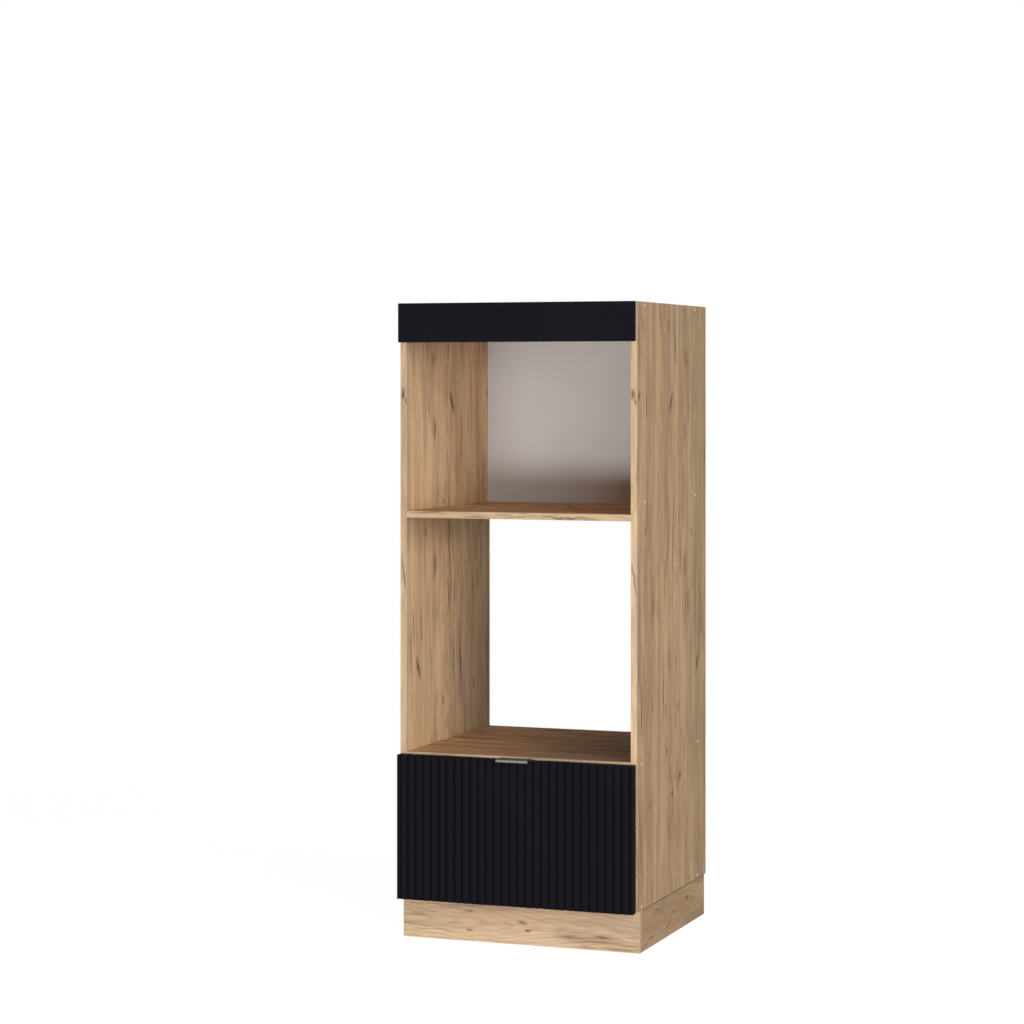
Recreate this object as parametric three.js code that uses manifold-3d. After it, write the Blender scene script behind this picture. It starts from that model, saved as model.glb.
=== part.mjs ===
// A tall kitchen cabinet. From the floor up: a plinth on levelling legs, a deep drawer with
// a fluted front, an open bay for a built-in oven, an open bay for a microwave, a valance.
// X runs across the front, Y from the front to the back, Z up. All sizes are millimetres.
// Pieces are placed with Y = 0 at the front edges of the carcass boards. The whole group is
// then moved along Y, so that its origin is on the floor under the middle of its outer box.

import * as THREE from 'three';
import { mergeVertices } from 'three/addons/utils/BufferGeometryUtils.js';
import Module from 'manifold-3d';

const wasm = await Module();
wasm.setup();

// Carcass
const CABINET_WIDTH = 600;
const CABINET_DEPTH = 560;
const BOARD = 16;
const PLINTH_HEIGHT = 100;
const DRAWER_BAY_HEIGHT = 318;
const OVEN_BAY_HEIGHT = 564;
const MICROWAVE_BAY_HEIGHT = 484;

// Clearances
const SEAM = 0.1;       // hairline between boards that butt together
const FIT_GAP = 0.3;    // around a piece that sits in a hole or a groove
const OVERCUT = 1;      // how far a cutter runs out past the face that it opens

// Hardboard backs, in a groove near the rear edges of the side panels
const HARDBOARD = 3;
const BACK_SETBACK = 14;
const GROOVE_DEPTH = 8;

// Fronts
const FRONT_GAP = 5;
const FRONT_REVEAL = 2;
const VALANCE_HEIGHT = 94;
const VALANCE_THICKNESS = 16;
const DRAWER_FRONT_THICKNESS = 22;
const DRAWER_FRONT_TOP_REVEAL = 5;
const DRAWER_FRONT_DROP = 2;
const FLUTE_PITCH = 20;
const FLUTE_WIDTH = 5;
const FLUTE_DEPTH = 3;
const FLUTE_FACETS = 6;
const FLUTE_END_MARGIN = 6;

// Edge handle, folded over the top edge of the drawer front
const HANDLE_WIDTH = 80;
const HANDLE_REACH = 11;
const HANDLE_SHEET = 2;
const HANDLE_LIP_HEIGHT = 8;
const HANDLE_LEG_HEIGHT = 20;
const HANDLE_CORNER_RADIUS = 1.5;

// Angle brackets behind the valance
const BRACKET_SHEET = 2;
const BRACKET_LEG = 28;
const BRACKET_HEIGHT = 40;
const BRACKET_DROP = 14;

// Carcass screws, each sunk so that a cover cap fills the recess over its head
const SCREW_LENGTH = 50;
const SCREW_HEAD_RADIUS = 5;
const SCREW_HEAD_HEIGHT = 3;
const SCREW_NECK_RADIUS = 3.5;
const SCREW_CORE_RADIUS = 2.5;
const SCREW_POINT = 3;
const SCREW_FACETS = 16;
const CAP_RECESS_RADIUS = 6.3;
const CAP_RECESS_DEPTH = 1.2;
const LOWER_SCREW_INSET_FRONT = 36;
const LOWER_SCREW_INSET_BACK = 56;
const UPPER_SCREW_INSET_FRONT = 63;
const UPPER_SCREW_INSET_BACK = 76;
const SPARE_HOLE_HEIGHT = 37;
const SPARE_HOLE_DEPTH = 12;

// Wooden dowels that hold the microwave shelf, hidden in its ends and in the side panels
const DOWEL_RADIUS = 4;
const DOWEL_IN_SIDE = 10;
const DOWEL_IN_SHELF = 20;
const DOWEL_FACETS = 12;

// Plinth, legs and clips
const PLINTH_SETBACK = 20;
const LEG_INSET = 44;
const LEG_BACK_INSET = 66;
const LEG_RADIUS = 16;
const LEG_FLANGE_RADIUS = 30;
const LEG_FLANGE_THICKNESS = 5;
const LEG_FLOOR_CLEARANCE = 40;
const LEG_ROOF_THICKNESS = 5;
const FOOT_STEM_RADIUS = 10;
const FOOT_STEM_HEIGHT = 72;
const FOOT_BASE_RADIUS = 25;
const FOOT_BASE_HEIGHT = 8;
const LEG_FACETS = 24;
const CLIP_SHEET = 3.5;
const CLIP_PLATE_WIDTH = 40;
const CLIP_ARM_WIDTH = 10;
const CLIP_HEIGHT = 20;
const CLIP_LIFT = 10;
const CLIP_MOUTH_HALF_ANGLE = THREE.MathUtils.degToRad(42);
const CLIP_ARC_STEPS = 8;

// Drawer box
const DRAWER_BOX_HEIGHT = 250;
const DRAWER_BOX_LIFT = 20;
const DRAWER_BOTTOM_LIFT = 10;
const DRAWER_REAR_CLEARANCE = 44;

// Ball-bearing runners: an outer, a middle and an inner channel, with two ball cages each side
const RUNNER_HEIGHT = 45.5;
const RUNNER_THICKNESS = 12.7;
const RUNNER_SETBACK = 2;
const RUNNER_LIFT = 90;
const RUNNER_SHEET = 1.2;
const RUNNER_LIP_GAP = 1.5;
const BALL_TRACK = 4;
const BALL_PLAY = 0.1;
const BALLS_PER_TRACK = 5;
const CAGE_SHEET = 0.7;
const CAGE_WEB_GAP = 0.4;
const CAGE_LENGTH = 200;
const CAGE_MARGIN = 0.5;

// Levels and faces that several pieces share
const halfWidth = CABINET_WIDTH / 2;
const sideInner = halfWidth - BOARD;
const bottomPanelZ = PLINTH_HEIGHT;
const ovenShelfZ = bottomPanelZ + BOARD + DRAWER_BAY_HEIGHT;
const microwaveShelfZ = ovenShelfZ + BOARD + OVEN_BAY_HEIGHT;
const topPanelZ = microwaveShelfZ + BOARD + MICROWAVE_BAY_HEIGHT;
const cabinetTop = topPanelZ + BOARD;
const backFace = CABINET_DEPTH - BACK_SETBACK;
const frontBack = -FRONT_GAP;
const frontHalfWidth = halfWidth - FRONT_REVEAL;
const drawerFrontTop = ovenShelfZ + BOARD - DRAWER_FRONT_TOP_REVEAL;
const drawerFrontBottom = bottomPanelZ - DRAWER_FRONT_DROP;
const drawerFace = frontBack - DRAWER_FRONT_THICKNESS;
const handleFront = drawerFace - HANDLE_REACH;

const SIDES = [
  { side: -1, word: 'left' },
  { side: 1, word: 'right' },
];
// Where the screws of the lower and the upper boards stand, at either end of a board's depth
const ENDS = [
  { word: 'front', lower: LOWER_SCREW_INSET_FRONT, upper: UPPER_SCREW_INSET_FRONT },
  { word: 'back', lower: backFace - LOWER_SCREW_INSET_BACK, upper: backFace - UPPER_SCREW_INSET_BACK },
];

// Finishes
const OAK = { color: 0xc2a27e, roughness: 0.6, metalness: 0 };
const BEECH = { color: 0xd8b98c, roughness: 0.7, metalness: 0 };
const WHITE_BOARD = { color: 0xe6e4df, roughness: 0.55, metalness: 0 };
const HARDBOARD_WHITE = { color: 0xdcd6cf, roughness: 0.6, metalness: 0 };
const BLACK_LACQUER = { color: 0x1b1b20, roughness: 0.55, metalness: 0 };
const BRUSHED_ALUMINIUM = { color: 0x9a9a9c, roughness: 0.35, metalness: 1 };
const ZINC_STEEL = { color: 0xb4b6b8, roughness: 0.4, metalness: 1 };
const BLACK_PLASTIC = { color: 0x222224, roughness: 0.6, metalness: 0 };

const cabinet = new THREE.Group();

// Makes one named piece with a material of its own and puts it in the cabinet.
function addPiece(name, finish, geometry, place, turn = 0) {
  const mesh = new THREE.Mesh(geometry, new THREE.MeshStandardMaterial(finish));
  mesh.name = name;
  mesh.position.copy(place);
  mesh.rotation.z = turn;
  cabinet.add(mesh);
}

// Turns a closed geometry into a solid that can be joined and cut.
function solidOf(geometry) {
  const bare = geometry.clone();
  bare.deleteAttribute('normal');
  bare.deleteAttribute('uv');
  const merged = mergeVertices(bare);
  const corners = merged.index.array;
  const triangles = [];
  for (let i = 0; i < corners.length; i += 3) {
    const [a, b, c] = [corners[i], corners[i + 1], corners[i + 2]];
    if (a !== b && b !== c && c !== a) triangles.push(a, b, c);
  }
  return new wasm.Manifold(new wasm.Mesh({
    numProp: 3,
    vertProperties: Float32Array.from(merged.attributes.position.array),
    triVerts: Uint32Array.from(triangles),
  }));
}

function geometryOf(solid) {
  const mesh = solid.getMesh();
  const geometry = new THREE.BufferGeometry();
  geometry.setAttribute('position', new THREE.BufferAttribute(mesh.vertProperties, 3));
  geometry.setIndex(new THREE.BufferAttribute(mesh.triVerts, 1));
  return geometry;
}

function cut(geometry, cutters) {
  return geometryOf(cutters.reduce((left, cutter) => left.subtract(solidOf(cutter)), solidOf(geometry)));
}

function join(geometries) {
  return geometryOf(geometries.map(solidOf).reduce((whole, next) => whole.add(next)));
}

// A box between two corners.
function boxBetween(low, high) {
  const size = new THREE.Vector3().subVectors(high, low);
  const middle = new THREE.Vector3().addVectors(low, high).multiplyScalar(0.5);
  return new THREE.BoxGeometry(size.x, size.y, size.z).translate(middle.x, middle.y, middle.z);
}

// A flat board between two corners, less the cutters that reach into it.
function addBoard(name, finish, low, high, cutters = []) {
  const middle = new THREE.Vector3().addVectors(low, high).multiplyScalar(0.5);
  const blank = boxBetween(low, high);
  const shaped = cutters.length > 0 ? cut(blank, cutters) : blank;
  addPiece(name, finish, shaped.translate(-middle.x, -middle.y, -middle.z), middle);
}

function vec(x, y, z) {
  return new THREE.Vector3(x, y, z);
}

// A turned shape from [radius, height] pairs, listed up the outside, standing on Z.
function turned(profile, facets) {
  const points = profile.map(([radius, height]) => new THREE.Vector2(radius, height));
  return new THREE.LatheGeometry(points, facets).rotateX(Math.PI / 2);
}

// An outline in plan, pulled up Z by its height.
function raised(outline, height) {
  return new THREE.ExtrudeGeometry(new THREE.Shape(outline), { depth: height, bevelEnabled: false });
}

// An outline of [across, up] points, pulled along Y and centred on it.
function alongY(outline, length) {
  const points = outline.map(([across, up]) => new THREE.Vector2(across, up));
  const bar = new THREE.ExtrudeGeometry(new THREE.Shape(points), { depth: length, bevelEnabled: false });
  return bar.translate(0, 0, -length / 2).rotateX(Math.PI / 2);
}

function arcPoints(x, y, radius, from, to, steps) {
  return Array.from({ length: steps + 1 }, (_, step) => {
    const angle = from + ((to - from) * step) / steps;
    return new THREE.Vector2(x + radius * Math.cos(angle), y + radius * Math.sin(angle));
  });
}

// ---------------------------------------------------------------- carcass screws

// Half section of a carcass screw, tip down, with its head's face at height 0.
// The hole for it is the same section, grown all round and opened by the cap's recess.
function screwSection(grow) {
  return [
    [0, -SCREW_LENGTH - grow],
    [SCREW_CORE_RADIUS + grow, -SCREW_LENGTH + SCREW_POINT - grow],
    [SCREW_CORE_RADIUS + grow, -BOARD],
    [SCREW_NECK_RADIUS + grow, -BOARD],
    [SCREW_NECK_RADIUS + grow, -SCREW_HEAD_HEIGHT - grow],
    [SCREW_HEAD_RADIUS + grow, -grow],
  ];
}

// The opening that a cover cap fills, over a hole whose mouth is at height 0.
const capRecessSection = [
  [CAP_RECESS_RADIUS, 0],
  [CAP_RECESS_RADIUS, CAP_RECESS_DEPTH + OVERCUT],
  [0, CAP_RECESS_DEPTH + OVERCUT],
];

// Lays a turned shape on its side, so that its top points out of the cabinet's left or right.
function facingOut(geometry, side) {
  return geometry.rotateY((side * Math.PI) / 2);
}

function screwPlace(side, y, z) {
  return vec(side * (halfWidth - CAP_RECESS_DEPTH), y, z);
}

function screwHole(side, y, z) {
  const section = [...screwSection(FIT_GAP), [SCREW_HEAD_RADIUS + FIT_GAP, 0], ...capRecessSection];
  const place = screwPlace(side, y, z);
  return facingOut(turned(section, SCREW_FACETS), side).translate(place.x, place.y, place.z);
}

function spareHole(side, y, z) {
  const section = [
    [0, -SPARE_HOLE_DEPTH],
    [SCREW_NECK_RADIUS, -SPARE_HOLE_DEPTH],
    [SCREW_NECK_RADIUS, 0],
    ...capRecessSection,
  ];
  const place = screwPlace(side, y, z);
  return facingOut(turned(section, SCREW_FACETS), side).translate(place.x, place.y, place.z);
}

// The boards that carcass screws hold, by the level of their underside.
const SCREWED_BOARDS = [
  { name: 'bottom_panel', word: 'bottom', z: bottomPanelZ, row: 'lower' },
  { name: 'oven_shelf', word: 'oven_shelf', z: ovenShelfZ, row: 'lower' },
  { name: 'top_panel', word: 'top', z: topPanelZ, row: 'upper' },
];

for (const { word: level, z, row } of SCREWED_BOARDS) {
  for (const { side, word: sideWord } of SIDES) {
    for (const end of ENDS) {
      const screw = facingOut(turned([...screwSection(0), [0, 0]], SCREW_FACETS), side);
      const place = screwPlace(side, end[row], z + BOARD / 2);
      addPiece(`screw_${level}_${sideWord}_${end.word}`, ZINC_STEEL, screw, place);
    }
  }
}

// ---------------------------------------------------------------- carcass boards

// A dowel, grown all round to give the hole that it sits in, from its end in the side panel.
function dowel(side, grow) {
  const radius = DOWEL_RADIUS + grow;
  const tip = DOWEL_IN_SIDE + grow;
  const tail = -DOWEL_IN_SHELF - grow;
  const section = [[0, tail], [radius, tail], [radius, tip], [0, tip]];
  return facingOut(turned(section, DOWEL_FACETS), side);
}

function dowelPlace(side, y) {
  return vec(side * sideInner, y, microwaveShelfZ + BOARD / 2);
}

function dowelHole(side, y) {
  const place = dowelPlace(side, y);
  return dowel(side, SEAM).translate(place.x, place.y, place.z);
}

// Groove along the whole of a side panel's inner face, which holds the hardboard backs.
function backGroove(side) {
  const x0 = side * (sideInner - OVERCUT);
  const x1 = side * (sideInner + GROOVE_DEPTH);
  return boxBetween(
    vec(Math.min(x0, x1), backFace, bottomPanelZ - OVERCUT),
    vec(Math.max(x0, x1), backFace + HARDBOARD + FIT_GAP, cabinetTop + OVERCUT),
  );
}

for (const { side, word } of SIDES) {
  const inner = side * sideInner;
  const outer = side * halfWidth;
  const holes = ENDS.flatMap((end) => [
    ...SCREWED_BOARDS.map(({ z, row }) => screwHole(side, end[row], z + BOARD / 2)),
    spareHole(side, end.upper, microwaveShelfZ + BOARD / 2 + SPARE_HOLE_HEIGHT),
    dowelHole(side, end.upper),
  ]);
  addBoard(
    `side_panel_${word}`, OAK,
    vec(Math.min(inner, outer), 0, bottomPanelZ), vec(Math.max(inner, outer), CABINET_DEPTH, cabinetTop),
    [backGroove(side), ...holes],
  );
}

for (const { name, z, row } of SCREWED_BOARDS) {
  const holes = SIDES.flatMap(({ side }) => ENDS.map((end) => screwHole(side, end[row], z + BOARD / 2)));
  addBoard(
    name, OAK,
    vec(-sideInner + SEAM, 0, z), vec(sideInner - SEAM, backFace, z + BOARD),
    holes,
  );
}

addBoard(
  'microwave_shelf', OAK,
  vec(-sideInner + SEAM, 0, microwaveShelfZ), vec(sideInner - SEAM, backFace, microwaveShelfZ + BOARD),
  SIDES.flatMap(({ side }) => ENDS.map(({ upper }) => dowelHole(side, upper))),
);

// The hardboard backs close the drawer bay and the microwave bay. The oven bay has none.
function addBack(name, low, high) {
  const reach = sideInner + GROOVE_DEPTH - FIT_GAP;
  const face = backFace + FIT_GAP / 2;
  addBoard(name, HARDBOARD_WHITE, vec(-reach, face, low + SEAM), vec(reach, face + HARDBOARD, high - SEAM));
}

addBack('back_panel_lower', bottomPanelZ, ovenShelfZ + BOARD);
addBack('back_panel_upper', microwaveShelfZ, cabinetTop);

// ---------------------------------------------------------------- shelf dowels

for (const { side, word: sideWord } of SIDES) {
  for (const { upper, word: endWord } of ENDS) {
    addPiece(`shelf_dowel_${sideWord}_${endWord}`, BEECH, dowel(side, 0), dowelPlace(side, upper));
  }
}

// ---------------------------------------------------------------- valance

addBoard(
  'valance', BLACK_LACQUER,
  vec(-frontHalfWidth, frontBack - VALANCE_THICKNESS, cabinetTop - VALANCE_HEIGHT),
  vec(frontHalfWidth, frontBack, cabinetTop),
);

// Angle in plan: one leg along the side panel, the other behind the valance.
for (const { side, word } of SIDES) {
  const outline = [
    [0, 0], [BRACKET_LEG, 0], [BRACKET_LEG, BRACKET_SHEET],
    [BRACKET_SHEET, BRACKET_SHEET], [BRACKET_SHEET, BRACKET_LEG], [0, BRACKET_LEG],
  ].map(([inward, back]) => new THREE.Vector2(-side * inward, back));
  addPiece(
    `valance_bracket_${word}`, ZINC_STEEL, raised(outline, BRACKET_HEIGHT),
    vec(side * (sideInner - SEAM), frontBack + SEAM, topPanelZ - BRACKET_DROP - BRACKET_HEIGHT),
  );
}

// ---------------------------------------------------------------- drawer front and handle

// Plan of the fluted front: a plain back, and round grooves at an even pitch along its face.
function flutedOutline() {
  const gaps = Math.floor((2 * frontHalfWidth - 2 * FLUTE_END_MARGIN) / FLUTE_PITCH);
  const outline = [
    new THREE.Vector2(-frontHalfWidth, DRAWER_FRONT_THICKNESS),
    new THREE.Vector2(-frontHalfWidth, 0),
  ];
  for (let flute = 0; flute <= gaps; flute += 1) {
    const middle = (flute - gaps / 2) * FLUTE_PITCH;
    for (let facet = 0; facet <= FLUTE_FACETS; facet += 1) {
      const angle = (Math.PI * facet) / FLUTE_FACETS;
      outline.push(new THREE.Vector2(
        middle - (FLUTE_WIDTH / 2) * Math.cos(angle),
        FLUTE_DEPTH * Math.sin(angle),
      ));
    }
  }
  outline.push(new THREE.Vector2(frontHalfWidth, 0));
  outline.push(new THREE.Vector2(frontHalfWidth, DRAWER_FRONT_THICKNESS));
  return outline;
}

addPiece(
  'drawer_front', BLACK_LACQUER, raised(flutedOutline(), drawerFrontTop - drawerFrontBottom),
  vec(0, drawerFace, drawerFrontBottom),
);

// Section of the handle, seen from its left end: across is Y, up is Z, and the corner where
// the front's back face meets its top edge is at 0, 0.
function handleOutline() {
  const plateFront = -DRAWER_FRONT_THICKNESS - HANDLE_REACH;
  const lipBottom = HANDLE_SHEET - HANDLE_LIP_HEIGHT;
  const corner = arcPoints(
    plateFront + HANDLE_CORNER_RADIUS, HANDLE_SHEET - HANDLE_CORNER_RADIUS,
    HANDLE_CORNER_RADIUS, Math.PI / 2, Math.PI, 3,
  );
  return [
    new THREE.Vector2(SEAM, -HANDLE_LEG_HEIGHT),
    new THREE.Vector2(SEAM + HANDLE_SHEET, -HANDLE_LEG_HEIGHT),
    new THREE.Vector2(SEAM + HANDLE_SHEET, HANDLE_SHEET),
    ...corner,
    new THREE.Vector2(plateFront, lipBottom),
    new THREE.Vector2(plateFront + HANDLE_SHEET, lipBottom),
    new THREE.Vector2(plateFront + HANDLE_SHEET, SEAM),
    new THREE.Vector2(SEAM, SEAM),
  ];
}

const handleTurn = new THREE.Matrix4().makeBasis(vec(0, 1, 0), vec(0, 0, 1), vec(1, 0, 0));
addPiece(
  'drawer_handle', BRUSHED_ALUMINIUM,
  raised(handleOutline(), HANDLE_WIDTH).translate(0, 0, -HANDLE_WIDTH / 2).applyMatrix4(handleTurn),
  vec(0, frontBack, drawerFrontTop),
);

// ---------------------------------------------------------------- drawer box

const boxHalfWidth = sideInner - RUNNER_THICKNESS;
const boxInner = boxHalfWidth - BOARD;
const boxFrontY = frontBack + SEAM;
const boxBackY = backFace - DRAWER_REAR_CLEARANCE;
const boxZ = bottomPanelZ + BOARD + DRAWER_BOX_LIFT;
const boxTop = boxZ + DRAWER_BOX_HEIGHT;
const drawerBottomZ = boxZ + DRAWER_BOTTOM_LIFT;

// The drawer's bottom reaches into grooves in all four walls, grown all round by the fit.
function drawerBottomCorners(grow) {
  const reach = GROOVE_DEPTH - FIT_GAP + grow;
  return [
    vec(-boxInner - reach, boxFrontY + BOARD - reach, drawerBottomZ - grow),
    vec(boxInner + reach, boxBackY - BOARD + reach, drawerBottomZ + HARDBOARD + grow),
  ];
}

const bottomGroove = boxBetween(...drawerBottomCorners(FIT_GAP));
addBoard('drawer_bottom', HARDBOARD_WHITE, ...drawerBottomCorners(0));

for (const { side, word } of SIDES) {
  const inner = side * boxInner;
  const outer = side * boxHalfWidth;
  addBoard(
    `drawer_side_${word}`, WHITE_BOARD,
    vec(Math.min(inner, outer), boxFrontY, boxZ), vec(Math.max(inner, outer), boxBackY, boxTop),
    [bottomGroove],
  );
}

function addDrawerWall(name, y) {
  addBoard(
    name, WHITE_BOARD,
    vec(-boxInner + SEAM, y, boxZ), vec(boxInner - SEAM, y + BOARD, boxTop),
    [bottomGroove],
  );
}

addDrawerWall('drawer_box_front', boxFrontY);
addDrawerWall('drawer_box_back', boxBackY - BOARD);

// ---------------------------------------------------------------- runners

// Half heights of the three nested channels, and how far each web stands from the side panel.
const outerHalf = RUNNER_HEIGHT / 2;
const middleHalf = outerHalf - RUNNER_SHEET - BALL_TRACK;
const innerHalf = middleHalf - RUNNER_SHEET - BALL_TRACK;
const outerCageWeb = RUNNER_SHEET + CAGE_WEB_GAP;
const middleWeb = outerCageWeb + CAGE_SHEET + CAGE_WEB_GAP;
const innerCageWeb = middleWeb + RUNNER_SHEET + CAGE_WEB_GAP;
const innerLip = innerCageWeb + CAGE_SHEET + CAGE_WEB_GAP;
const channelLip = RUNNER_THICKNESS - RUNNER_LIP_GAP;
const ballRadius = BALL_TRACK / 2 - BALL_PLAY;
const ballLine = (innerLip + channelLip) / 2;
const cageLip = ballLine + ballRadius + CAGE_MARGIN;
const runnerZ = boxZ + RUNNER_LIFT;
const runnerLength = boxBackY - RUNNER_SETBACK;
const runnerMiddleY = RUNNER_SETBACK + runnerLength / 2;

// Section of a channel whose web is at one distance from the side panel and its lips at another.
function channelOutline(side, web, lip, half, sheet) {
  const webFar = web + Math.sign(lip - web) * sheet;
  return [
    [web, -half], [lip, -half], [lip, -half + sheet], [webFar, -half + sheet],
    [webFar, half - sheet], [lip, half - sheet], [lip, half], [web, half],
  ].map(([out, up]) => [-side * out, up]);
}

function cageGeometry(side, web, track) {
  const channel = alongY(
    channelOutline(side, web, cageLip, track + CAGE_SHEET / 2, CAGE_SHEET), CAGE_LENGTH,
  );
  const balls = [];
  for (let ball = 0; ball < BALLS_PER_TRACK; ball += 1) {
    const y = ((ball + 0.5) / BALLS_PER_TRACK - 0.5) * CAGE_LENGTH;
    for (const z of [-track, track]) {
      balls.push(new THREE.SphereGeometry(ballRadius, 6, 4).translate(-side * ballLine, y, z));
    }
  }
  return join([channel, ...balls]);
}

for (const { side, word } of SIDES) {
  const place = vec(side * (sideInner - SEAM / 2), runnerMiddleY, runnerZ);
  const channels = [
    { name: 'outer', web: 0, lip: channelLip, half: outerHalf },
    { name: 'middle', web: middleWeb, lip: channelLip, half: middleHalf },
    { name: 'inner', web: RUNNER_THICKNESS - SEAM, lip: innerLip, half: innerHalf },
  ];
  for (const { name, web, lip, half } of channels) {
    const outline = channelOutline(side, web, lip, half, RUNNER_SHEET);
    addPiece(`runner_${name}_${word}`, ZINC_STEEL, alongY(outline, runnerLength), place);
  }
  const outerCage = cageGeometry(side, outerCageWeb, middleHalf + BALL_TRACK / 2);
  const innerCage = cageGeometry(side, innerCageWeb, innerHalf + BALL_TRACK / 2);
  addPiece(`ball_cage_outer_${word}`, BLACK_PLASTIC, outerCage, place);
  addPiece(`ball_cage_inner_${word}`, BLACK_PLASTIC, innerCage, place);
}

// ---------------------------------------------------------------- legs, feet, plinth and clips

const legX = sideInner - LEG_INSET;
const LEGS = [
  { y: PLINTH_SETBACK + BOARD + LEG_INSET, word: 'front' },
  { y: backFace - LEG_BACK_INSET, word: 'back' },
];
const legTop = bottomPanelZ - SEAM;
const flangeZ = legTop - LEG_FLANGE_THICKNESS;
const boreTop = legTop - LEG_ROOF_THICKNESS;
const boreRadius = FOOT_STEM_RADIUS + FIT_GAP;

const legSection = [
  [0, boreTop], [boreRadius, boreTop], [boreRadius, LEG_FLOOR_CLEARANCE],
  [LEG_RADIUS, LEG_FLOOR_CLEARANCE], [LEG_RADIUS, flangeZ],
  [LEG_FLANGE_RADIUS, flangeZ], [LEG_FLANGE_RADIUS, legTop], [0, legTop],
];
const footSection = [
  [0, 0], [FOOT_BASE_RADIUS, 0], [FOOT_BASE_RADIUS, FOOT_BASE_HEIGHT],
  [FOOT_STEM_RADIUS, FOOT_BASE_HEIGHT], [FOOT_STEM_RADIUS, FOOT_STEM_HEIGHT], [0, FOOT_STEM_HEIGHT],
];

for (const { side, word: sideWord } of SIDES) {
  for (const { y, word: endWord } of LEGS) {
    const place = vec(side * legX, y, 0);
    addPiece(`leg_${endWord}_${sideWord}`, BLACK_PLASTIC, turned(legSection, LEG_FACETS), place);
    addPiece(`foot_${endWord}_${sideWord}`, BLACK_PLASTIC, turned(footSection, LEG_FACETS), place);
  }
}

const plinthTop = bottomPanelZ - SEAM;
const plinthBack = PLINTH_SETBACK + BOARD;

addBoard('plinth_front', OAK, vec(-halfWidth, PLINTH_SETBACK, 0), vec(halfWidth, plinthBack, plinthTop));

for (const { side, word } of SIDES) {
  const inner = side * sideInner;
  const outer = side * halfWidth;
  addBoard(
    `plinth_side_${word}`, OAK,
    vec(Math.min(inner, outer), plinthBack + SEAM, 0), vec(Math.max(inner, outer), backFace, plinthTop),
  );
}

// Plan of a plinth clip: an open ring that snaps round a leg, an arm, and a plate on the board.
function clipOutline() {
  const ringInner = LEG_RADIUS + FIT_GAP;
  const ringOuter = ringInner + CLIP_SHEET;
  const halfArm = CLIP_ARM_WIDTH / 2;
  const halfPlate = CLIP_PLATE_WIDTH / 2;
  const plateFace = -LEG_INSET + FIT_GAP;
  const plateBack = plateFace + CLIP_SHEET;
  const armAngle = Math.asin(halfArm / ringOuter) - Math.PI / 2;
  const mouthRight = Math.PI / 2 - CLIP_MOUTH_HALF_ANGLE;
  const mouthLeft = Math.PI / 2 + CLIP_MOUTH_HALF_ANGLE;
  const fullTurn = 2 * Math.PI;
  return [
    new THREE.Vector2(-halfPlate, plateFace),
    new THREE.Vector2(halfPlate, plateFace),
    new THREE.Vector2(halfPlate, plateBack),
    new THREE.Vector2(halfArm, plateBack),
    ...arcPoints(0, 0, ringOuter, armAngle, mouthRight, CLIP_ARC_STEPS),
    ...arcPoints(0, 0, ringInner, mouthRight, mouthLeft - fullTurn, 2 * CLIP_ARC_STEPS),
    ...arcPoints(0, 0, ringOuter, mouthLeft, Math.PI - armAngle, CLIP_ARC_STEPS),
    new THREE.Vector2(-halfArm, plateBack),
    new THREE.Vector2(-halfPlate, plateBack),
  ];
}

// The front clips hold the front plinth board, the back ones hold the side boards.
for (const { side, word: sideWord } of SIDES) {
  for (const { y, word: endWord } of LEGS) {
    const turn = endWord === 'front' ? 0 : (side * Math.PI) / 2;
    addPiece(
      `plinth_clip_${endWord}_${sideWord}`, BLACK_PLASTIC, raised(clipOutline(), CLIP_HEIGHT),
      vec(side * legX, y, LEG_FLOOR_CLEARANCE + CLIP_LIFT), turn,
    );
  }
}

// The outer box runs from the lip of the handle to the rear edges of the side panels.
cabinet.position.y = -(CABINET_DEPTH + handleFront) / 2;

export default cabinet;
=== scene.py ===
"""Looks of a tall kitchen cabinet: oak-look boards, a fluted black drawer and two open bays.

All lengths are metres. X runs across the front, Y from the front to the back and Z up.
"""

import logging
import math
from dataclasses import dataclass
from enum import Enum
from itertools import pairwise
from typing import Callable, Sequence

import bmesh
import bpy
from mathutils import Matrix, Vector


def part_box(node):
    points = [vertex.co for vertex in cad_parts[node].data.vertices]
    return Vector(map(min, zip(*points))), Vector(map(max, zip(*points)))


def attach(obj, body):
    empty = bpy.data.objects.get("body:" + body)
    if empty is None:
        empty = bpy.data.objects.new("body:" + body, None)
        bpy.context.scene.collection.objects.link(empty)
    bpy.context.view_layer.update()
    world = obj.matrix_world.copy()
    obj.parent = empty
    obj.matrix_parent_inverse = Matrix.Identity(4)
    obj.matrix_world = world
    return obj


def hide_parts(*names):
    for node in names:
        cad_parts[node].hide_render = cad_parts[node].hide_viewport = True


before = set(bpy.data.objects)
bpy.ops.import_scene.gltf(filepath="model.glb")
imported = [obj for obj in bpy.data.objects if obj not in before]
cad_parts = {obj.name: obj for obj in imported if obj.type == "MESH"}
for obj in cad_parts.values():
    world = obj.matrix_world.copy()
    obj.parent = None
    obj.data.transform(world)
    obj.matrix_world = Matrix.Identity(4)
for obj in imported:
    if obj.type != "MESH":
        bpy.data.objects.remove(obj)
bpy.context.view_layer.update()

log = logging.getLogger("cabinet")

MM = 0.001
TOUCH = 0.02 * MM
ARRIS = 0.35 * MM
EDGE_BAND = 0.8 * MM
QUARTER_TURN = math.pi / 2
SIDES = {"left": -1, "right": 1}
ENDS = ("front", "back")

Triple = tuple[float, float, float]
Colour = tuple[float, float, float, float]
Socket = bpy.types.NodeSocket
Material = bpy.types.Material
EdgeTest = Callable[[bmesh.types.BMEdge], bool]


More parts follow.
